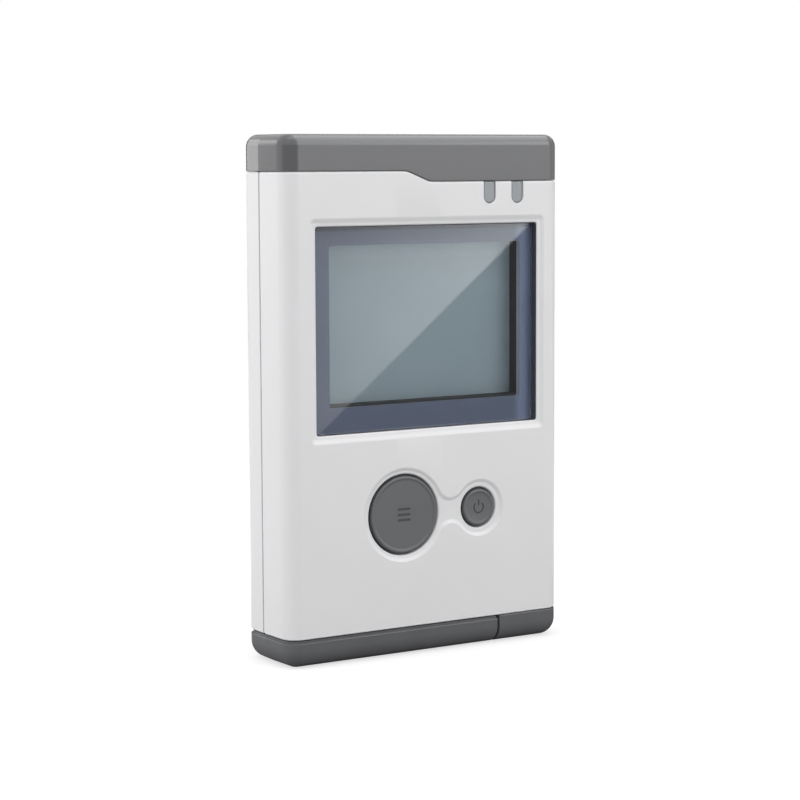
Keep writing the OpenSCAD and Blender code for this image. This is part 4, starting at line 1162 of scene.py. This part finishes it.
class MONITOR_OT_foot_pieces(bpy.types.Operator):
    """Battery cover and corner cap round the foot"""
    bl_idname = "monitor.foot_pieces"
    bl_label = "Foot pieces"

    def foot_loop(self, context, split, side, inset, split_inset):
        """Section of the foot on one side of the split: side -1 is the left piece."""
        s, split_rim = sizes(context, "shell"), sizes(context, "foot").split_rim
        x = split + side * (split_inset - inset)
        cut_r = split_rim + max(inset, 0.0)
        front_x = HALF_W - (s.parting - FRONT_Y) * tan(s.front_draft)
        rear_x = HALF_W - (REAR_Y - s.parting) * tan(s.rear_draft)
        outer = [(side * rear_x, REAR_Y, s.edge, 14), (side * HALF_W, s.parting, 12.0, 5),
                 (side * front_x, FRONT_Y, s.edge, 14)]
        corners = outer + [(x, FRONT_Y, cut_r, 4), (x, REAR_Y, cut_r, 4)]
        if side > 0:
            corners = corners[::-1]
        return rounded_loop(corners, inset)

    def foot_shell(self, context, name, split, side, rim_rows):
        s, f = sizes(context, "shell"), sizes(context, "foot")
        outer = [(along, inset, 0.0) for along, inset in round_over(f.edge, 12)]
        inner_r = f.edge - s.wall
        inner = [(s.wall + along, s.wall + inset, s.wall)
                 for along, inset in round_over(inner_r, 6)]
        top = rim_rows[-1][0]
        rows = inner + [(top, s.wall, s.wall)] + rim_rows[::-1] + outer[::-1]
        return loft(name, [[(x, y, z) for x, y in self.foot_loop(context, split, side, i, si)]
                           for z, i, si in rows])

    def grip_cutter(self, context, x):
        r = sizes(context, "rear")
        inputs = [("Grooves", "NodeSocketInt", r.grips), ("Pitch", "NodeSocketFloat", r.grip_pitch),
                  ("Radius", "NodeSocketFloat", r.grip_radius),
                  ("Length", "NodeSocketFloat", x[1] - x[0])]

        def build(nodes, sockets):
            step = nodes.add("ShaderNodeCombineXYZ", {"Z": sockets["Pitch"]})
            line = nodes.add("GeometryNodeMeshLine", {
                "Count": sockets["Grooves"], "Offset": step.outputs[0],
                "Start Location": ((x[0] + x[1]) / 2, REAR_Y + 0.25, r.grip_z)})
            groove = nodes.add("GeometryNodeMeshCylinder", {
                "Vertices": 48, "Radius": sockets["Radius"], "Depth": sockets["Length"]})
            return copies(nodes, line.outputs[0], groove.outputs[0], (0.0, pi / 2, 0.0))

        return repeated("grip grooves", inputs, build)

    def execute(self, context):
        s, f = sizes(context, "shell"), sizes(context, "foot")
        grey = Palette.get("foot_grey")
        top = FOOT_Z - 0.2
        half_split = f.split_gap / 2
        deep, low = f.groove, f.groove_z
        groove = [(low, 0.0, 0.0), (low + 0.05, 0.02, 0.0), (low + 0.1, 0.07, 0.0),
                  (low + 0.13, 0.15, 0.0), (low + 0.14, deep, 0.0), (top - 0.08, deep, 0.0),
                  (top, deep + 0.08, 0.1)]
        cover_x = f.split_x - half_split
        cover = self.foot_shell(context, "battery_cover_shell", cover_x, -1, groove)
        inner = REAR_Y - 1.4
        panel_left, panel_top = cover_panel(context)
        panel = [(panel_left, f.edge + 0.3, 0.3, 2), (cover_x, f.edge + 0.3, 0.3, 2),
                 (cover_x, panel_top, 0.5, 6), (panel_left, panel_top, 0.5, 6)]
        rows = [(inner, 0.0)] + [(REAR_Y - a, inset) for a, inset in reversed(round_over(0.15))]
        unite(cover, plate("panel", panel, rows))
        unite(cover, brick((panel_left - 1.1, cover_x + 1.1), (inner + 0.003, REAR_Y - 0.9),
                           (FOOT_Z + 1.1, panel_top + 1.1)))
        front_in = FRONT_Y + s.wall
        tabs = [brick((x - 3, x + 3), (front_in - 0.2, front_in + 1.1), (s.wall - 0.2, top - 0.2))
                for x in TAB_XS]
        unite(cover, *tabs)
        tabs = [brick((x - 2.98, x + 2.98), (front_in + 0.01, front_in + 1.09),
                      (s.wall, FOOT_Z + s.wall + 0.3)) for x in TAB_XS]
        unite(cover, *tabs)
        cut(cover, self.grip_cutter(context, (panel_left + 12, f.split_x - 0.1 - 12)))
        finish(cover, grey, body="cover", replaces=["battery_cover"])

        corner_x = f.split_x + half_split
        rim = [(f.corner_top - a, i, i) for a, i in reversed(round_over(0.15))]
        corner = self.foot_shell(context, "corner_cap_shell", corner_x, 1, rim)
        (usb_x, usb_y, _), _ = span("usb_socket")
        left, right = usb_x - PLUG[0], usb_x + PLUG[0]
        front, back = usb_y - PLUG[1], usb_y + PLUG[1]
        unite(corner, brick((left - PLUG_WALL, right + PLUG_WALL),
                            (front - PLUG_WALL, back + PLUG_WALL), (0.7, top)))
        peg = [(0.7, CAP_PEG), (6.95, CAP_PEG), (7.25, 0.7)]
        unite(corner, *[turned("peg", place, "Z", peg, 24) for place in cap_peg_places()])
        recess = [(x, y, 1.2, 6) for x, y in ((left, front), (right, front), (right, back),
                                              (left, back))]
        rows = [(-OUTSIDE, -0.22), (-0.01, -0.2)]
        rows += [(a, -i) for a, i in round_over(0.2)[1:]] + [(FOOT_Z + 1, 0.0)]
        mouth = loft("plug recess", [[(x, y, z) for x, y in rounded_loop(recess, i)]
                                     for z, i in rows])
        groove = brick((f.split_x - 1, f.split_x + 1.3), (inner - 0.2, REAR_Y - 0.7),
                       (-1, FOOT_Z + 1))
        cut(corner, mouth, groove)
        finish(corner, grey, replaces=["bottom_corner_cap"])
        return {"FINISHED"}


class MONITOR_OT_display(bpy.types.Operator):
    """Clear window, its print, the foam round the display, the display and its holder"""
    bl_idname = "monitor.display"
    bl_label = "Display"

    def execute(self, context):
        low, high = box("display_window")
        (x, _, z), (w, _, h) = span("display_window")
        edge = round_over(0.12)
        rows = [(low[1] + a, i) for a, i in edge] + [(high[1] - a, i) for a, i in reversed(edge)]
        corner = sizes(context, "display").corner - 0.1
        glass = plate("window_plate", rectangle(x, z, w, h, corner), rows)
        finish(glass, Palette.get("clear_window"), replaces=["display_window"])
        (low, high), sill = box("display_gasket"), sizes(context, "display").foam_sill
        (x, _, z), (w, _, h) = span("display_gasket")
        hole_w, hole_h = w - 2 * GASKET_RIM + 0.4, h - 2 * GASKET_RIM + 0.2 - sill
        foam = plate("foam_frame", rectangle(x, z, w, h, 0.5), [(low[1], 0), (high[1], 0)])
        cut(foam, plate("foam hole", rectangle(x, z + 0.1 + sill / 2, hole_w, hole_h, 0.4),
                        [(low[1] - OUTSIDE, 0), (high[1] + OUTSIDE, 0)]))
        finish(foam, Palette.get("foam_black"), replaces=["display_gasket"])
        for node, name in (("window_mask", "window_print"), ("lcd_glass", "lcd"),
                           ("lcd_backlight", "inner_white"),
                           ("lcd_holder", "inner_white"), ("lcd_flex", "amber_film")):
            coat(node, name)
        return {"FINISHED"}


class MONITOR_OT_keys(bpy.types.Operator):
    """The two keys with their rims and plain marks, and the switches under them"""
    bl_idname = "monitor.keys"
    bl_label = "Keys"

    def key(self, context, node, hole, name):
        k = sizes(context, "keys")
        low, high = box(node)
        (x, _, z), (flange_w, _, _) = span(node)
        r, y = hole / 2 - k.gap, low[1]
        flange_y, flange_r = FRONT_Y + sizes(context, "shell").wall + 0.15, flange_w / 2
        flange_back, stem = flange_y + 0.6, 1.5
        face, ramp_r, ramp_w = y + k.rim, r - k.rim_width, 0.5 * k.rim_width
        profile = [(face + 0.02, 0.4), (face + 0.015, r * 0.35), (face, ramp_r)]
        profile += [(y + k.rim * (1 - ease(t)), ramp_r + ramp_w * t)
                    for t in (0.2, 0.4, 0.6, 0.8, 1.0)]
        profile += [(y + a, r - i) for a, i in round_over(k.edge, 5)]
        profile += [(flange_y - 0.01, r), (flange_y, flange_r - 0.1), (flange_y + 0.1, flange_r),
                    (flange_back, flange_r), (flange_back, stem), (high[1], stem), (high[1], 0.4)]
        return turned(name, (z, x), "Y", profile, 96), x, z, face

    def execute(self, context):
        k = sizes(context, "keys")
        grey, mark = Palette.get("key_grey"), Palette.get("key_mark")
        deep = k.mark
        mode, x, z, face = self.key(context, "mode_button", k.mode_hole, "mode_key_face")
        bars = [plate("bar mark", rectangle(x, z + dz, 3.0, 0.5, 0.22, 4),
                      [(face - 0.6, 0), (face + deep, 0)]) for dz in (-1.1, 0.0, 1.1)]
        cut(mode, *bars)
        power, px, pz, face = self.key(context, "power_button", k.power_hole, "power_key_face")
        ring = [(px, pz, 1.3, 130, 410, 28), (px, pz, 0.98, 410, 130, 28)]
        symbol = [loft("ring mark", [flat(arc_loop(ring), y) for y in (face - 0.6, face + deep)]),
                  plate("line mark", rectangle(px, pz + 0.95, 0.34, 1.3, 0.15, 4),
                        [(face - 0.6, 0), (face + deep, 0)])]
        cut(power, *symbol)
        for obj, node, body, cx, cz in ((mode, "mode_button", "mode_key", x, z),
                                        (power, "power_button", "power_key", px, pz)):
            obj.data.materials.append(grey)
            paint(obj, mark, lambda c, n: (abs(c.x - cx) < 1.8 and abs(c.z - cz) < 1.8
                                           and face + 0.025 < c.y < face + deep + 0.01
                                           and (abs(n.y) < 0.5 or c.y > face + deep - 0.02)))
            finish(obj, grey, body=body, replaces=[node])
        for node, name in (("mode_switch", "steel"), ("power_switch", "steel"),
                           ("mode_switch_plunger", "black_plastic"),
                           ("power_switch_plunger", "black_plastic")):
            coat(node, name)
        return {"FINISHED"}


class MONITOR_OT_indicators(bpy.types.Operator):
    """The two indicator windows under the brow"""
    bl_idname = "monitor.indicators"
    bl_label = "Indicator windows"

    def execute(self, context):
        top = seam_height(context, HALF_W) - 0.12
        for side in ("left", "right"):
            node = "indicator_window_" + side
            low, high = box(node)
            (x, _, _), (w, _, _) = span(node)
            half, inner = w / 2, FRONT_Y + sizes(context, "shell").wall

            def outline(z_top):
                return [(x - half, low[2], half - 0.01, 12), (x + half, low[2], half - 0.01, 12),
                        (x + half, z_top, 0.2, 4), (x - half, z_top, 0.2, 4)]

            edge = round_over(0.3)
            head = plate("indicator_" + side, outline(top),
                         [(low[1] + a, i) for a, i in edge] + [(inner, 0)])
            pipe_top = box("indicator_leds")[0][2] + 1.8
            pipe = plate("pipe", outline(pipe_top), [(inner - 0.2, 0.01), (high[1], 0.01)])
            unite(head, pipe)
            finish(head, Palette.get("light_pipe"), replaces=[node])
        coat("indicator_leds", "inner_white")
        return {"FINISHED"}


class MONITOR_OT_electrodes(bpy.types.Operator):
    """The two steel electrodes on the back and the strips behind them"""
    bl_idname = "monitor.electrodes"
    bl_label = "Electrodes"

    def execute(self, context):
        for side in ("left", "right"):
            node = "electrode_" + side
            low, high = box(node)
            (x, _, z), (w, _, h) = span(node)
            edge = round_over(0.35, 5)
            back = high[1] - 1.0
            rows = [(back, 0.0)] + [(high[1] - a, i) for a, i in reversed(edge)]
            plate_piece = plate("electrode_plate_" + side, rectangle(x, z, w, h, 3.0, 14), rows)
            studs = [turned("stud", (z + dz, x), "Y", [(low[1], 0.8), (low[1] + 0.2, 1.0),
                                                       (back + 0.2, 1.0)], 32)
                     for dz in (-STUD_RISE, STUD_RISE)]
            unite(plate_piece, *studs)
            finish(plate_piece, Palette.get("steel"), replaces=[node])
        coat("electrode_contacts", "gold")
        return {"FINISHED"}


class MONITOR_OT_battery(bpy.types.Operator):
    """The two cells with their jackets, and their springs and contact plates"""
    bl_idname = "monitor.battery"
    bl_label = "Battery"

    def springs(self):
        low, high = box("battery_springs")
        wire, turns, length_mm = 0.5, 2.5, 2.6
        inputs = [("Turns", "NodeSocketFloat", turns), ("Wire", "NodeSocketFloat", wire / 2),
                  ("Start radius", "NodeSocketFloat", 3.6), ("End radius", "NodeSocketFloat", 1.2),
                  ("Length", "NodeSocketFloat", length_mm - 1.3 * wire)]
        upper_z, lower_z = span("battery_upper")[0][2], span("battery_lower")[0][2]
        y = span("battery_upper")[0][1]

        def build(nodes, sockets):
            coil = nodes.add("GeometryNodeCurveSpiral", {
                "Resolution": 24, "Rotations": sockets["Turns"],
                "Start Radius": sockets["Start radius"], "End Radius": sockets["End radius"],
                "Height": sockets["Length"]})
            ring = nodes.add("GeometryNodeCurvePrimitiveCircle",
                             {"Resolution": 10, "Radius": sockets["Wire"]})
            tube = nodes.add("GeometryNodeCurveToMesh", {
                "Curve": coil.outputs[0], "Profile Curve": ring.outputs[0], "Fill Caps": True})
            left = moved(nodes, tube.outputs[0], (low[0] + wire / 2, y, upper_z),
                         (0.0, pi / 2, 0.0))
            right = moved(nodes, tube.outputs[0], (high[0] - wire / 2, y, lower_z),
                          (0.0, -pi / 2, 0.0))
            pair = nodes.add("GeometryNodeJoinGeometry")
            nodes.tree.links.new(left, pair.inputs[0])
            nodes.tree.links.new(right, pair.inputs[0])
            return pair.outputs[0]

        return repeated("cell_springs", inputs, build)

    def execute(self, context):
        for node, sign in (("battery_upper", 1), ("battery_lower", -1)):
            low, high = box(node)
            (_, y, z), (length_mm, _, width) = span(node)
            flat_end, nub_end = (low[0], high[0]) if sign > 0 else (high[0], low[0])
            r, body = width / 2, length_mm - 1.0

            def at(distance):
                return flat_end + sign * distance

            profile = [(at(0.25), 0.3), (at(0.25), r - 1.6), (at(0.0), r - 1.4), (at(0.0), r - 0.6),
                       (at(0.12), r - 0.25), (at(0.4), r - 0.06), (at(0.9), r), (at(body - 9.0), r),
                       (at(body - 8.99), r), (at(body - 1.5), r), (at(body - 1.2), r - 0.2),
                       (at(body - 0.9), r - 0.22), (at(body - 0.6), r - 0.02),
                       (at(body - 0.3), r - 0.06), (at(body), r - 0.5), (at(body), 2.4),
                       (at(body - 0.1), 2.0), (nub_end - sign * 0.3, 1.9), (nub_end, 1.6),
                       (nub_end, 0.3)]
            name = "upper_cell" if sign > 0 else "lower_cell"
            cell = turned(name, (y, z), "X", profile, 64)
            cell.data.materials.append(Palette.get("cell_jacket"))
            paint(cell, Palette.get("jacket_band"), lambda c, n: (
                body - 9.0 < sign * (c.x - flat_end) < body - 1.5))
            paint(cell, Palette.get("steel"), lambda c, n: (
                sign * (c.x - flat_end) > body - 1.2 or sign * (c.x - flat_end) < 0.3))
            finish(cell, None, replaces=[node])
        finish(self.springs(), Palette.get("steel"), replaces=["battery_springs"])
        coat("battery_contacts", "steel")
        return {"FINISHED"}


class MONITOR_OT_fasteners(bpy.types.Operator):
    """Four housing screws and four board screws with cross recesses"""
    bl_idname = "monitor.fasteners"
    bl_label = "Screws"

    def screw(self, reach, radius, head, thick):
        """One screw along Y whose head's top is at y = 0."""
        body = turned("screw", (0.0, 0.0), "Y", [
            (-reach, radius * 0.6), (-reach + 0.4, radius), (-thick, radius), (-thick, head - 0.1),
            (-thick + 0.1, head), (-0.45, head), (-0.2, head - 0.1), (-0.05, head - 0.35),
            (0.0, head - 0.6)], 40)
        half, arm = head * 0.6, head * 0.13
        cross = [(arm, arm), (half, arm), (half, -arm), (arm, -arm), (arm, -half), (-arm, -half),
                 (-arm, -arm), (-half, -arm), (-half, arm), (-arm, arm), (-arm, half), (arm, half)]
        cross = cross[::-1]
        rows = [(0.5, 1.0), (0.0, 1.0), (-thick * 0.55, 0.7)]
        tool = loft("cross", [[(x * f, y, z * f) for x, z in cross] for y, f in rows])
        return cut(body, tool)

    def placed(self, name, screw, y, points):
        inputs = [("Screw", "NodeSocketObject", screw)]
        lines = sorted({p[1] for p in points})

        def build(nodes, sockets):
            piece = nodes.add("GeometryNodeObjectInfo", {"Object": sockets["Screw"]})
            rows = nodes.add("GeometryNodeJoinGeometry")
            for z in lines:
                xs = sorted(p[0] for p in points if p[1] == z)
                line = nodes.add("GeometryNodeMeshLine", {
                    "Count": len(xs), "Start Location": (xs[0], y, z),
                    "Offset": (xs[-1] - xs[0], 0.0, 0.0)})
                nodes.tree.links.new(line.outputs[0], rows.inputs[0])
            return copies(nodes, rows.outputs[0], piece.outputs["Geometry"])

        result = repeated(name, inputs, build)
        remove(screw)
        return result

    def execute(self, context):
        for node, name, radius, head, thick, places in (
                ("housing_screws", "shell_screws", 0.9, HOUSING_HEAD, 1.4, screw_places()),
                ("board_screws", "circuit_screws", 0.8, BOARD_HEAD, 0.9, board_screw_places())):
            low, high = box(node)
            screw = self.screw(high[1] - low[1], radius, head, thick)
            screws = self.placed(name, screw, high[1], places)
            finish(screws, Palette.get("screw_steel"), replaces=[node])
        return {"FINISHED"}


class MONITOR_OT_boards(bpy.types.Operator):
    """The boards and what they carry, and the data socket"""
    bl_idname = "monitor.boards"
    bl_label = "Boards and socket"

    def capacitor_row(self):
        low, high = box("capacitors")
        count = 6
        pitch = (high[0] - low[0] - 1.6) / (count - 1)
        inputs = [("Count", "NodeSocketInt", count), ("Pitch", "NodeSocketFloat", pitch),
                  ("Body", "NodeSocketVector", (1.6, high[1] - low[1], high[2] - low[2]))]

        def build(nodes, sockets):
            step = nodes.add("ShaderNodeCombineXYZ", {"X": sockets["Pitch"]})
            line = nodes.add("GeometryNodeMeshLine", {
                "Count": sockets["Count"], "Offset": step.outputs[0],
                "Start Location": (low[0] + 0.8, (low[1] + high[1]) / 2, (low[2] + high[2]) / 2)})
            body = nodes.add("GeometryNodeMeshCube", {"Size": sockets["Body"]})
            return copies(nodes, line.outputs[0], body.outputs[0])

        row = repeated("capacitor_row", inputs, build)
        bevel(row, 0.1, lambda a, b: True, 2)
        return row

    def execute(self, context):
        row = self.capacitor_row()
        row.data.materials.append(Palette.get("ceramic"))
        ends = box("capacitors")
        paint(row, Palette.get("steel"), lambda c, n: (
            c.z < ends[0][2] + 0.12 or c.z > ends[1][2] - 0.12))
        finish(row, None, replaces=["capacitors"])
        for node, name in (("main_board", "board"), ("key_board", "board"),
                           ("key_ribbon", "inner_white"), ("ribbon_sockets", "inner_white"),
                           ("microcontroller", "black_plastic"), ("memory_chip", "black_plastic"),
                           ("amplifier_shield", "steel"), ("crystal", "steel"),
                           ("beeper", "black_plastic"), ("usb_socket", "steel")):
            coat(node, name)
        return {"FINISHED"}


# ---------- stage ----------

CAMERA_PLACE = Vector((-247.4, -392.25, 99.41))
CAMERA_LENS = 102.36
CAMERA_AHEAD = Vector((0.52867, 0.84245, -0.10386))
CAMERA_ROLL = radians(-0.263)
LAMPS = (       # name, place, width, height, whether gloss shows it
    ("key", (375, -575, 262), 560, 530, True), ("front", (-130, -640, 260), 520, 500, False),
    ("side", (-520, 130, 105), 420, 400, False), ("rear", (-216, 665, 215), 300, 400, True),
    ("top", (0, -60, 620), 400, 300, True))
GLARE_EDGE = (Vector((27.3, 0.0, 87.3)), Vector((-25.0, 0.0, 45.6)))
CARD_Y = -250.0
CARD_TOP = 86.0
SCREEN_ARC = (radians(-1), radians(102))       # from -X towards -Y
FLAG_ARC = (radians(185), radians(288))        # round the back, out of the camera's sight
SCREEN_RADIUS = 420.0
SCREEN_Z = (5.0, 250.0)
ARCH = (radians(22), radians(118))             # from level in front, up and over to the back
ARCH_RADIUS = 600.0
ARCH_X = (120.0, 560.0)


def seen_rays(nodes):
    """The camera-ray socket, and one that is 1 for rays whose colour shows: straight from the
    camera, mirrored or through the window."""
    path = nodes.add("ShaderNodeLightPath").outputs
    seen = path["Is Camera Ray"]
    for ray in ("Is Glossy Ray", "Is Transmission Ray"):
        seen = nodes.add("ShaderNodeMath", {0: seen, 1: path[ray]},
                         operation="MAXIMUM").outputs[0]
    return path["Is Camera Ray"], seen


class MONITOR_OT_stage(bpy.types.Operator):
    """Pale floor, soft lamps, the card that the window mirrors, surroundings and camera"""
    bl_idname = "monitor.stage"
    bl_label = "Stage"

    def lamp(self, name, place, width, height, radiance, mirrored):
        """A soft lamp aimed at the middle of the body; gloss shows it only if mirrored."""
        data = bpy.data.lights.new(name, "AREA")
        data.shape, data.size, data.size_y = "RECTANGLE", width * MM, height * MM
        data.energy = radiance * pi * data.size * data.size_y
        obj = bpy.data.objects.new(name, data)
        bpy.context.scene.collection.objects.link(obj)
        aim = Vector((0, 0, TOP_Z / 2))
        obj.location = Vector(place) * MM
        obj.rotation_euler = (Vector(place) - aim).to_track_quat("Z", "Y").to_euler()
        obj.visible_camera = False
        obj.visible_transmission = False
        obj.visible_glossy = mirrored

    def floor(self, glow):
        size, z = 4000, -0.02       # just clear of the foot's underside
        floor = solid("floor", [(-size, -size, z), (size, -size, z), (size, size, z),
                                (-size, size, z)], [(0, 1, 2, 3)])
        floor.data.transform(Matrix.Scale(MM, 4))
        material, nodes = shader("pale floor")
        place = nodes.add("ShaderNodeTexCoord").outputs["Object"]
        away = nodes.add("ShaderNodeVectorMath", {0: place}, operation="LENGTH")
        far = nodes.add("ShaderNodeMapRange", {"Value": away.outputs["Value"], "From Min": 0.12,
                                               "From Max": 0.4})
        camera_ray, seen = seen_rays(nodes)
        # Painted shadow: near a point just in front of the middle, rays that are mirrored or pass
        # through the window meet a darker floor (0.12 with no glow instead of 0.5 with glow), so
        # the foot mirrors a dark patch.
        front = nodes.add("ShaderNodeVectorMath", {0: place, 1: (0.02, -0.03, 0.0)},
                          operation="DISTANCE")
        apart = nodes.add("ShaderNodeMapRange", {"Value": front.outputs["Value"], "From Min": 0.05,
                                                 "From Max": 0.15})
        pale = nodes.add("ShaderNodeMath", {0: camera_ray, 1: apart.outputs[0]},
                         operation="MAXIMUM")
        tone = nodes.add("ShaderNodeMapRange", {"Value": pale.outputs[0], "To Min": 0.12,
                                                "To Max": 0.5})
        matt = nodes.add("ShaderNodeBsdfDiffuse", {"Color": tone.outputs[0]})
        lit = nodes.add("ShaderNodeMath", {0: pale.outputs[0], 1: glow}, operation="MULTIPLY")
        bright = nodes.add("ShaderNodeEmission", {"Color": (1, 1, 1, 1),
                                                  "Strength": lit.outputs[0]})
        near = nodes.add("ShaderNodeAddShader", {0: matt.outputs[0], 1: bright.outputs[0]})
        white = nodes.add("ShaderNodeEmission", {"Color": (1, 1, 1, 1), "Strength": 1.0})
        shown = nodes.add("ShaderNodeMixShader", {0: far.outputs[0], 1: near.outputs[0],
                                                  2: white.outputs[0]})
        dull = nodes.add("ShaderNodeBsdfDiffuse", {"Color": (0.28, 0.28, 0.28, 1)})
        mix = nodes.add("ShaderNodeMixShader", {0: seen, 1: dull.outputs[0],
                                                2: shown.outputs[0]})
        nodes.add("ShaderNodeOutputMaterial", {"Surface": mix.outputs[0]})
        floor.data.materials.append(material)

    def mirrored(self, name, verts, faces, left, right):
        """A sheet that only gloss shows; its strength runs from left to right, as (x, strength)."""
        sheet = solid(name, verts, faces)
        sheet.data.transform(Matrix.Scale(MM, 4))
        material, nodes = shader(name)
        place = nodes.add("ShaderNodeTexCoord").outputs["Object"]
        across = nodes.add("ShaderNodeSeparateXYZ", {"Vector": place}).outputs["X"]
        strength = nodes.add("ShaderNodeMapRange", {
            "Value": across, "From Min": left[0] * MM, "From Max": right[0] * MM,
            "To Min": left[1], "To Max": right[1]}).outputs["Result"]
        glow = nodes.add("ShaderNodeEmission", {"Color": (0.98, 0.99, 1.0, 1),
                                                "Strength": strength})
        nodes.add("ShaderNodeOutputMaterial", {"Surface": glow.outputs[0]})
        sheet.data.materials.append(material)
        for ray in ("camera", "diffuse", "volume_scatter", "shadow"):
            setattr(sheet, "visible_" + ray, False)

    def window_cards(self, bright, dark):
        """What the window mirrors: a pale card above a slanting edge, a dark one below it."""
        window_y = box("display_window")[0][1]
        eye = Vector((CAMERA_PLACE.x, 2 * window_y - CAMERA_PLACE.y, CAMERA_PLACE.z))
        edge = []
        for point in GLARE_EDGE:
            p = Vector((point.x, window_y, point.z))
            edge.append(eye + (p - eye) * ((CARD_Y - eye.y) / (p.y - eye.y)))
        along = (edge[0] - edge[1]).normalized()
        low = edge[1] - along * 14
        high = low + along * ((CARD_TOP - low.z) / along.z)
        corner = (low.x, CARD_Y, CARD_TOP)
        far = high.x + 12
        self.mirrored("pale card", [low, high, corner], [(0, 1, 2)],
                      (edge[1].x, 0.35 * bright), (edge[0].x, bright))
        self.mirrored("dark card", [low, (far, CARD_Y, low.z), (far, CARD_Y, CARD_TOP), high],
                      [(0, 1, 2, 3)], (0, dark), (1, dark))

    def arc_sheet(self, name, arc, edges, place, strength):
        """A bent sheet that only gloss shows; place(angle, edge) gives its points."""
        steps = 24
        angles = [arc[0] + (arc[1] - arc[0]) * k / steps for k in range(steps + 1)]
        verts = [place(a, edge) for edge in edges for a in angles]
        count = steps + 1
        faces = [(k, k + 1, count + k + 1, count + k) for k in range(steps)]
        self.mirrored(name, verts, faces, (0, strength), (1, strength))

    def screens(self, dark, pale):
        """Dark arcs that give the upright edges their shade, and the bevel's pale arch."""
        def upright(a, z):
            return (-SCREEN_RADIUS * cos(a), -SCREEN_RADIUS * sin(a), z)

        def over(a, x):
            return (x, -ARCH_RADIUS * cos(a), TOP_Z + ARCH_RADIUS * sin(a))

        self.arc_sheet("dark screen", SCREEN_ARC, SCREEN_Z, upright, dark)
        self.arc_sheet("dark flag", FLAG_ARC, SCREEN_Z, upright, dark)
        self.arc_sheet("pale arch", ARCH, ARCH_X, over, pale)

    def surroundings(self, ambient):
        world = bpy.data.worlds.new("pale room")
        world.use_nodes = True
        nodes = Nodes(world.node_tree)
        _, seen = seen_rays(nodes)
        strength = nodes.add("ShaderNodeMapRange", {"Value": seen, "To Min": ambient,
                                                    "To Max": 1.0})
        back = nodes.add("ShaderNodeBackground", {"Color": (1, 1, 1, 1),
                                                  "Strength": strength.outputs[0]})
        nodes.add("ShaderNodeOutputWorld", {"Surface": back.outputs[0]})
        bpy.context.scene.world = world

    def camera(self):
        data = bpy.data.cameras.new("camera")
        data.lens, data.sensor_width, data.clip_start, data.clip_end = CAMERA_LENS, 36, 0.01, 50
        obj = bpy.data.objects.new("camera", data)
        bpy.context.scene.collection.objects.link(obj)
        ahead = CAMERA_AHEAD.normalized()
        right = ahead.cross(Vector((0, 0, 1))).normalized()
        up = right.cross(ahead)
        across = right * cos(CAMERA_ROLL) + up * sin(CAMERA_ROLL)
        upright = up * cos(CAMERA_ROLL) - right * sin(CAMERA_ROLL)
        turn = Matrix((across, upright, -ahead)).transposed()
        obj.matrix_world = Matrix.Translation(CAMERA_PLACE * MM) @ turn.to_4x4()
        bpy.context.scene.camera = obj

    def execute(self, context):
        s = context.scene.monitor.stage
        self.floor(s.floor_glow)
        self.window_cards(s.card, s.screen)
        self.screens(s.screen, s.strip)
        self.surroundings(s.ambient)
        for name, place, width, height, mirrored in LAMPS:
            self.lamp(name + " lamp", place, width, height, getattr(s, name + "_light"), mirrored)
        self.camera()
        context.scene.view_settings.view_transform = "Standard"
        return {"FINISHED"}


class MONITOR_PT_sidebar(bpy.types.Panel):
    """Lists the pieces in the order in which they are built"""
    bl_idname = "MONITOR_PT_sidebar"
    bl_label = "Heart rhythm monitor"
    bl_space_type = "VIEW_3D"
    bl_region_type = "UI"
    bl_category = "Monitor"

    def draw(self, context):
        for operator in OPERATORS:
            self.layout.operator(operator.bl_idname)
        for group in ("shell", "seam", "foot", "display", "keys", "rear", "colours", "stage"):
            settings = getattr(context.scene.monitor, group)
            column = self.layout.column()
            for name in settings.__annotations__:
                column.prop(settings, name)


OPERATORS = (MONITOR_OT_front_housing, MONITOR_OT_rear_housing, MONITOR_OT_top_cap,
             MONITOR_OT_foot_pieces, MONITOR_OT_display, MONITOR_OT_keys, MONITOR_OT_indicators,
             MONITOR_OT_electrodes, MONITOR_OT_battery, MONITOR_OT_fasteners, MONITOR_OT_boards,
             MONITOR_OT_stage)
CLASSES = (ShellSizes, SeamSizes, FootSizes, DisplaySizes, KeySizes, RearSizes, FinishColours,
           StageSettings, MonitorSettings, *OPERATORS, MONITOR_PT_sidebar)


def register():
    for cls in CLASSES:
        bpy.utils.register_class(cls)
    bpy.types.Scene.monitor = bpy.props.PointerProperty(type=MonitorSettings)


def unregister():
    del bpy.types.Scene.monitor
    for cls in reversed(CLASSES):
        bpy.utils.unregister_class(cls)


def main():
    register()
    for operator in OPERATORS:
        group, name = operator.bl_idname.split(".")
        getattr(getattr(bpy.ops, group), name)()


if __name__ == "__main__":
    main()
